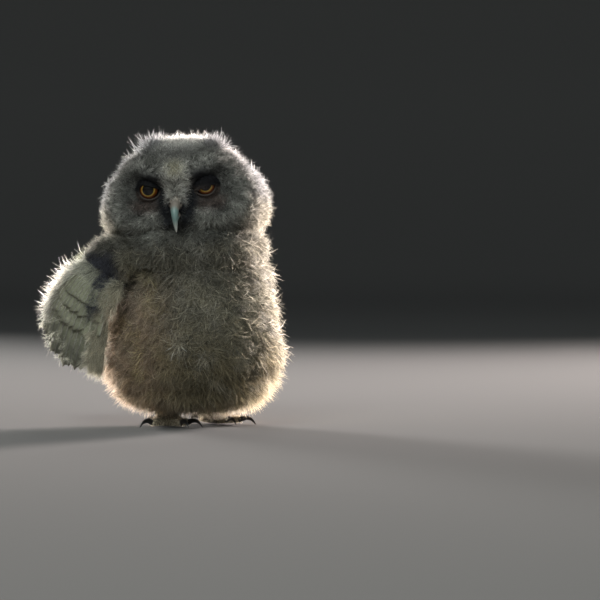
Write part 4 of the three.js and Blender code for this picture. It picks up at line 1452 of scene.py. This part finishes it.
def vane_colour(tree, along, edge, mottle):
    """Dark bars across the vane, pale edges, and a darker end."""
    # Bars run a little towards the tip at the edges, and are mottled
    swept = math_node(tree, "MULTIPLY_ADD", edge, -0.018, along)
    shaken = math_node(tree, "MULTIPLY_ADD", mottle, 0.03, swept)
    wave = math_node(tree, "SINE", math_node(tree, "MULTIPLY", shaken, 2 * math.pi * 100 / FEATHER_BARS))
    barred = blended(tree, ranged(tree, wave, 0.1, 0.6, end=0.22), paint("feather"), paint("bar"))
    edged = blended(tree, ranged(tree, edge, 0.8, 1.0, end=0.85), barred, paint("pale"))
    return blended(tree, ranged(tree, along, 0.42, 0.7, end=0.7), edged, paint("bar"))


def vane_material():
    """Vane with dark bars, pale edges and fine slanting barbs."""
    material, tree, shader = new_material("vane", Roughness=0.7, Specular_IOR_Level=0.3)
    parts = put(tree, "ShaderNodeSeparateXYZ", [map_place(tree)])
    along = parts.outputs["X"]
    edge = math_node(tree, "ABSOLUTE", math_node(tree, "MULTIPLY_ADD", parts.outputs["Y"], 2.0, -1.0))
    mottle = noise(tree, object_place(tree), 260.0, 5.0)
    slant = math_node(tree, "MULTIPLY_ADD", edge, -0.06, along)
    barbs = math_node(tree, "SINE", math_node(tree, "MULTIPLY", slant, 2 * math.pi * 160))
    light = math_node(tree, "MULTIPLY_ADD", barbs, 0.10, 0.92)
    speckle = math_node(tree, "MULTIPLY_ADD", mottle, 0.5, 0.6)
    speckle = math_node(tree, "MULTIPLY_ADD", attribute_node(tree, "tone").outputs["Fac"], 0.3, speckle)
    shade = vane_colour(tree, along, edge, mottle)
    shade = scaled(tree, shade, math_node(tree, "MULTIPLY", light, speckle))
    tree.links.new(shade, shader.inputs["Base Color"])
    roughen(tree, shader, barbs, 0.35, 0.0002)
    let_through(tree, shader, shade, 0.22)
    return material


# Settings

COLOURS = {
    "breast": ((0.62, 0.60, 0.535), "grey-brown of the middle breast"),
    "dusky": ((0.35, 0.35, 0.335), "dark grey mottling"),
    "belly": ((0.545, 0.51, 0.42), "brownish buff of the lower belly"),
    # The flank colour is partly the down's own buff, partly a painted warm glow
    "flank": ((0.86, 0.75, 0.68), "warm buff of the flanks"),
    "pale": ((0.82, 0.81, 0.78), "whitish down"),
    "straw": ((0.74, 0.70, 0.50), "yellowish streaks on forehead and sides"),
    "crown": ((0.51, 0.512, 0.51), "whitish grey of the crown"),
    "cheek": ((0.54, 0.54, 0.515), "olive grey of the cheeks"),
    "mask": ((0.16, 0.165, 0.18), "dark slate mask round the eyes and bill"),
    "brown": ((0.39, 0.35, 0.33), "brownish grey under the eyes"),
    "slate": ((0.33, 0.335, 0.37), "dark slate of the shoulders"),
    "leg": ((0.78, 0.73, 0.64), "pale buff of the feet"),
    "iris_edge": ((0.52, 0.27, 0.08), "orange at the iris's edge"),
    "iris": ((0.78, 0.63, 0.27), "yellow inside the iris"),
    # The bill colour is partly a painted highlight over dark grey horn
    "bill": ((0.40, 0.49, 0.475), "blue-grey of the bill"),
    "cere": ((0.54, 0.51, 0.47), "grey-beige of the cere"),
    "horn": ((0.10, 0.095, 0.10), "blackish horn of the claws"),
    "lid": ((0.085, 0.085, 0.10), "dark skin of the lids"),
    "feather": ((0.68, 0.69, 0.59), "grey buff of the wing feathers"),
    "bar": ((0.26, 0.25, 0.24), "dark bars of wing and tail"),
    "shaft": ((0.58, 0.55, 0.49), "pale feather shafts"),
    "floor": ((0.36, 0.36, 0.355), "floor and backdrop"),
}


class OwlColours(bpy.types.PropertyGroup):
    """The colours of coat, eyes, bill and feathers."""


for colour_name, (colour_value, colour_words) in COLOURS.items():
    OwlColours.__annotations__[colour_name] = bpy.props.FloatVectorProperty(
        name=colour_name.replace("_", " ").capitalize(),
        description=colour_words,
        subtype="COLOR_GAMMA",
        size=3,
        min=0,
        max=1,
        default=colour_value,
    )


def length_setting(name, description, default):
    """A setting in millimetres."""
    words = description + ", in millimetres"
    return bpy.props.FloatProperty(name=name, description=words, default=default, min=0.1)


class OwlCoat(bpy.types.PropertyGroup):
    """Lengths and density of the down."""

    body_length: length_setting("Body", "length of the body's down", 12.5)
    hem_length: length_setting("Hem", "length of the down that hangs over the legs", 14)
    head_length: length_setting("Head", "length of the down on crown and nape", 9)
    face_length: length_setting("Face", "length of the face's fine feathers", 5.5)
    wedge_length: length_setting("Wedge", "length of the whitish feathers between the brows", 6)
    shoulder_length: length_setting("Shoulder", "length of the down on the shoulders", 8)
    leg_length: length_setting("Leg", "length of the down on the legs", 6)
    toe_length: length_setting("Toe", "length of the down on the toes", 2.6)
    density: bpy.props.FloatProperty(
        name="Density", description="tufts for each square millimetre of skin", default=0.85, min=0.05
    )
    glow: bpy.props.FloatProperty(
        name="Glow", description="share of light that passes through a strand", subtype="FACTOR", default=0.58
    )
    seed: bpy.props.IntProperty(name="Seed", description="changes the chance placing of the tufts", default=5)


# Operators


class OWL_OT_skin(bpy.types.Operator):
    """Builds one skin for torso, neck, head, legs and feet, with the markings and lie of the coat on it."""

    bl_idname = "owl.skin"
    bl_label = "Skin"

    def execute(self, context):
        mesh = skin_shell()
        dress_skin(mesh)
        skin = add_object("skin", mesh, skin_material())
        settle(skin, "down", "torso", "neck", "head", "leg_left", "leg_right", "foot_left", "foot_right")
        return {"FINISHED"}


class OWL_OT_down(bpy.types.Operator):
    """Grows the down over the skin, region by region."""

    bl_idname = "owl.down"
    bl_label = "Down"

    def execute(self, context):
        settings = context.scene.owl_coat
        strand_group()
        # The first number of each finish is the painted shade at the strands' roots, the second the
        # lightening of their tips
        strand_material("body_down", 0.42, 1.6, 0.75, settings.glow)
        strand_material("head_down", 0.3, 1.65, 1.1, 0.8 * settings.glow)
        strand_material("face_down", 0.4, 1.6, 1.1, 0.3)
        strand_material("wisp_down", 0.9, 1.9, 0.6, settings.glow)
        tree = coat_tree()
        kinds = {name: tuft_kinds(name) for name in ("body", "hem", "head", "face", "foot", "wisp")}
        for number, (region, (kind, share, finish, middle)) in enumerate(COAT.items()):
            down_piece(
                "down_" + region,
                bpy.data.objects["skin"],
                tree,
                kinds=kinds[kind],
                region="on_" + region,
                density=settings.density * share * 1e6,
                middle=tuple(to_frame(middle)),
                variation=0.45 if region == "head_wisps" else 0.25,
                seed=settings.seed + number,
                material=bpy.data.materials[finish],
            )
        for tufts in kinds.values():
            drop_kinds(tufts)
        return {"FINISHED"}


class OWL_OT_eyes(bpy.types.Operator):
    """Builds both eyes and the lids over them."""

    bl_idname = "owl.eyes"
    bl_label = "Eyes"

    def execute(self, context):
        wet, dark = eye_material(), lid_material()
        lid_down = strand_material("lid_down", 0.8, 1.3, 0.8, 0.2)
        kinds = tuft_kinds("lid")
        for word, side in SIDES.items():
            settle(add_object("eyeball_" + word, eye_mesh(side), wet), "iris", "eye_" + word)
            settle(add_object("eyelids_" + word, lids_mesh(side, word), dark), "lid", "lids_" + word)
            down_on(
                "lid_feathers_" + word,
                lid_feather_base(side, word),
                kinds=kinds,
                region="on_lid",
                density=5e6,
                middle=tuple(to_frame(from_head(eye_centre(side) * (1, 0, 1)))),
                seed=context.scene.owl_coat.seed,
                material=lid_down,
            )
        drop_kinds(kinds)
        return {"FINISHED"}


class OWL_OT_bill(bpy.types.Operator):
    """Builds both halves of the hooked bill and the cere."""

    bl_idname = "owl.bill"
    bl_label = "Bill"

    def execute(self, context):
        root, tint, pale = paint("cere") * 0.8, paint("bill"), paint("pale")
        # The bill's blue-grey is lighter than its own dark grey horn, partly a painted highlight, brightest
        # in the band at 0.6
        stops = [(0, root), (0.5, root), (0.6, tint * 1.2), (0.78, tint)]
        stops += [(0.9, mix(tint, pale, 0.5)), (1, pale * 0.8)]
        finish = horn_material("bill", stops, 0.38, 0.25)
        upper = from_head(horn(BEAK_UPPER, 3.5, 4.2, (1, 0, 0), 60, 40, bluntness=0.62, keel=0.1))
        lower = from_head(horn(BEAK_LOWER, 2.7, 2.2, (1, 0, 0), 30, 28, bluntness=0.6))
        settle(add_object("bill_upper", horn_mesh("bill_upper", [upper]), finish), "beak", "beak_upper")
        settle(add_object("bill_lower", horn_mesh("bill_lower", [lower]), finish), "beak", "beak_lower")
        settle(add_object("bill_cere", cere_mesh(), cere_material()), "cere", "cere")
        return {"FINISHED"}


class OWL_OT_bristles(bpy.types.Operator):
    """Grows the small feathers and bristles that come down over the cere."""

    bl_idname = "owl.bristles"
    bl_label = "Bristles"

    def execute(self, context):
        kinds = tuft_kinds("bristle")
        down_on(
            "bill_bristles",
            bristle_base(),
            kinds=kinds,
            region="on_cere",
            density=4.5e6,
            middle=tuple(to_frame(from_head(CERE["at"]))),
            seed=context.scene.owl_coat.seed,
            material=bpy.data.materials["face_down"],
        )
        drop_kinds(kinds)
        return {"FINISHED"}


class OWL_OT_claws(bpy.types.Operator):
    """Builds the claws of both feet."""

    bl_idname = "owl.claws"
    bl_label = "Claws"

    def execute(self, context):
        tint = paint("horn")
        finish = horn_material("claw", [(0, tint * 2.2), (0.3, tint), (1, tint * 0.6)], 0.3, 0.3)
        for word, side in SIDES.items():
            forms = [claw_rings(side, turn, length) for turn, length in TOES.values()]
            claws = add_object("claws_" + word, horn_mesh("claws", forms), finish)
            settle(claws, "claw", *(f"claw_{word}_{toe}" for toe in TOES))
        return {"FINISHED"}


class OWL_OT_feathers(bpy.types.Operator):
    """Builds the growing feathers of wings and tail, tier over tier."""

    bl_idname = "owl.feathers"
    bl_label = "Wings and tail"

    def execute(self, context):
        vane = vane_material()
        shaft = horn_material("shaft", [(0, paint("shaft")), (1, paint("bar") * 1.6)], 0.4, 0.3)
        for word, side in SIDES.items():
            mesh = feathers_mesh("wing_feathers_" + word, wing_feathers(side, 40 + side))
            settle(add_object("wing_feathers_" + word, mesh, vane, shaft), "flight", "wing_" + word)
        mesh = feathers_mesh("tail_feathers", tail_feathers(44))
        settle(add_object("tail_feathers", mesh, vane, shaft), "flight", "tail")
        return {"FINISHED"}


class OWL_OT_fluff(bpy.types.Operator):
    """Grows the ear tufts, and the down that still clings to the wings."""

    bl_idname = "owl.fluff"
    bl_label = "Ear tufts and wing fluff"

    def execute(self, context):
        settings = context.scene.owl_coat
        common = {"seed": settings.seed, "material": bpy.data.materials["head_down"]}
        wing_kinds, ear_kinds = tuft_kinds("fluff"), tuft_kinds("ear_down")
        for word, side in SIDES.items():
            down_on(
                "wing_fluff_" + word,
                wing_fluff_base(side),
                slot="flight",
                kinds=wing_kinds,
                region="on_wing",
                density=settings.density * 1.5e6,
                middle=tuple(to_frame((0, 55, 75))),
                **common,
            )
            aside, length = EAR_TUFTS[word]
            at = np.array([side * aside, EAR["y"], EAR["z"]])
            down_on(
                "ear_down_" + word,
                ear_base(side, at, length),
                nodes=["ear_tuft_" + word],
                kinds=ear_kinds,
                region="on_ear",
                density=settings.density * 2.6e6,
                middle=tuple(to_frame(from_head(at))),
                **common,
            )
        drop_kinds(wing_kinds)
        drop_kinds(ear_kinds)
        return {"FINISHED"}


class OWL_OT_stage(bpy.types.Operator):
    """Sets up the floor, the lights and the camera."""

    bl_idname = "owl.stage"
    bl_label = "Stage"

    def execute(self, context):
        axis = Vector(to_frame((0, 0, 0)))
        build_floor()
        place_camera(axis)
        place_lights(axis + Vector((0, 0, 0.1)))
        return {"FINISHED"}


# Stage

CAMERA = {"turn": -45, "rise": 1.5, "away": 2.17, "lens": 200, "right": 64, "height": 82}
# name: direction in degrees from the camera's, height in degrees, power, size, spread, colour
LIGHTS = {
    "key": (-14, 38, 33, 1.0, 180, (0.93, 1, 0.97)),
    "fill": (46, 14, 13, 2.5, 180, (0.93, 1, 0.98)),
    "back_right": (138, 6, 68, 0.6, 60, (1, 0.88, 0.86)),
    "back_left": (-150, 6, 32, 0.6, 60, (1, 0.95, 0.94)),
    "back_top": (176, 34, 2.6, 1.0, 60, (1, 0.98, 0.96)),
}
LIGHT_AWAY = 2.4
SKY = {"colour": (0.9, 0.95, 1, 1), "strength": 0.24}
# The floor's line from the middle outwards: distance and height, in metres
FLOOR_LINE = [(0.001, 0), (1.2, 0), (2.6, 0), (3.2, 0.06), (3.7, 0.35), (3.95, 0.9), (4.0, 2.6)]


def way_to(turn, rise):
    """The direction from the middle towards a place that is turned and raised by degrees."""
    a, e = math.radians(turn), math.radians(rise)
    return Vector((math.sin(a) * math.cos(e), -math.cos(a) * math.cos(e), math.sin(e)))


def aimed(place, target):
    return Matrix.LocRotScale(place, (place - target).to_track_quat("Z", "Y"), None)


def build_floor():
    """A wide floor that rises far behind the bird."""
    radius, height = curve(FLOOR_LINE, 60).T
    angle = np.linspace(0, 2 * math.pi, 96, endpoint=False)
    across, ahead = radius[:, None] * np.cos(angle), radius[:, None] * np.sin(angle)
    rings = np.stack(np.broadcast_arrays(across, ahead, np.maximum(height, 0)[:, None]), axis=-1)
    mesh = make_mesh("floor", rings.reshape(-1, 3) * 1000 - SHIFT, grid_faces(len(radius), len(angle)))
    tint = (*paint("floor"), 1)
    material, _, _ = new_material("floor", Roughness=1.0, Specular_IOR_Level=0.0, Base_Color=tint)
    floor = add_object("floor", mesh, material)


def place_camera(axis):
    """A long lens, level with the bird."""
    scene = bpy.context.scene
    right = Vector((math.cos(math.radians(CAMERA["turn"])), math.sin(math.radians(CAMERA["turn"])), 0))
    target = axis + right * CAMERA["right"] / 1000 + Vector((0, 0, CAMERA["height"] / 1000))
    camera = bpy.data.objects.new("camera", bpy.data.cameras.new("camera"))
    camera.data.lens = CAMERA["lens"]
    camera.data.sensor_width = 36
    camera.matrix_world = aimed(target + way_to(CAMERA["turn"], CAMERA["rise"]) * CAMERA["away"], target)
    scene.collection.objects.link(camera)
    scene.camera = camera


def place_lights(middle):
    """A soft key and fill from the front, and low lights from behind that give the pale rim."""
    scene = bpy.context.scene
    for name, (turn, rise, power, size, spread, colour) in LIGHTS.items():
        lamp = bpy.data.lights.new(name, "AREA")
        lamp.shape = "DISK"
        lamp.energy = power
        lamp.size = size
        lamp.spread = math.radians(spread)
        lamp.color = colour
        light = bpy.data.objects.new(name, lamp)
        light.matrix_world = aimed(middle + way_to(CAMERA["turn"] + turn, rise) * LIGHT_AWAY, middle)
        light.visible_camera = False
        light.visible_glossy = name == "key"
        scene.collection.objects.link(light)
    world = bpy.data.worlds.new("soft_sky")
    world.use_nodes = True
    sky = world.node_tree.nodes["Background"].inputs
    sky["Color"].default_value = SKY["colour"]
    sky["Strength"].default_value = SKY["strength"]
    scene.world = world
    scene.view_settings.view_transform = "Standard"


OPERATORS = (
    OWL_OT_skin,
    OWL_OT_down,
    OWL_OT_eyes,
    OWL_OT_bill,
    OWL_OT_bristles,
    OWL_OT_claws,
    OWL_OT_feathers,
    OWL_OT_fluff,
    OWL_OT_stage,
)


class OWL_PT_panel(bpy.types.Panel):
    """Lists the steps that build the owl, with its settings."""

    bl_idname = "OWL_PT_panel"
    bl_label = "Owl Chick"
    bl_space_type = "VIEW_3D"
    bl_region_type = "UI"
    bl_category = "Owl Chick"

    def draw(self, context):
        for settings in (context.scene.owl_coat, context.scene.owl_colours):
            for name in settings.__annotations__:
                self.layout.prop(settings, name)
        for operator in OPERATORS:
            self.layout.operator(operator.bl_idname)


CLASSES = (OwlColours, OwlCoat, *OPERATORS, OWL_PT_panel)


def register():
    for item in CLASSES:
        bpy.utils.register_class(item)
    bpy.types.Scene.owl_colours = bpy.props.PointerProperty(type=OwlColours)
    bpy.types.Scene.owl_coat = bpy.props.PointerProperty(type=OwlCoat)


def unregister():
    del bpy.types.Scene.owl_coat
    del bpy.types.Scene.owl_colours
    for item in reversed(CLASSES):
        bpy.utils.unregister_class(item)


def main():
    register()
    for operator in OPERATORS:
        group, name = operator.bl_idname.split(".")
        getattr(getattr(bpy.ops, group), name)()


if __name__ == "__main__":
    main()
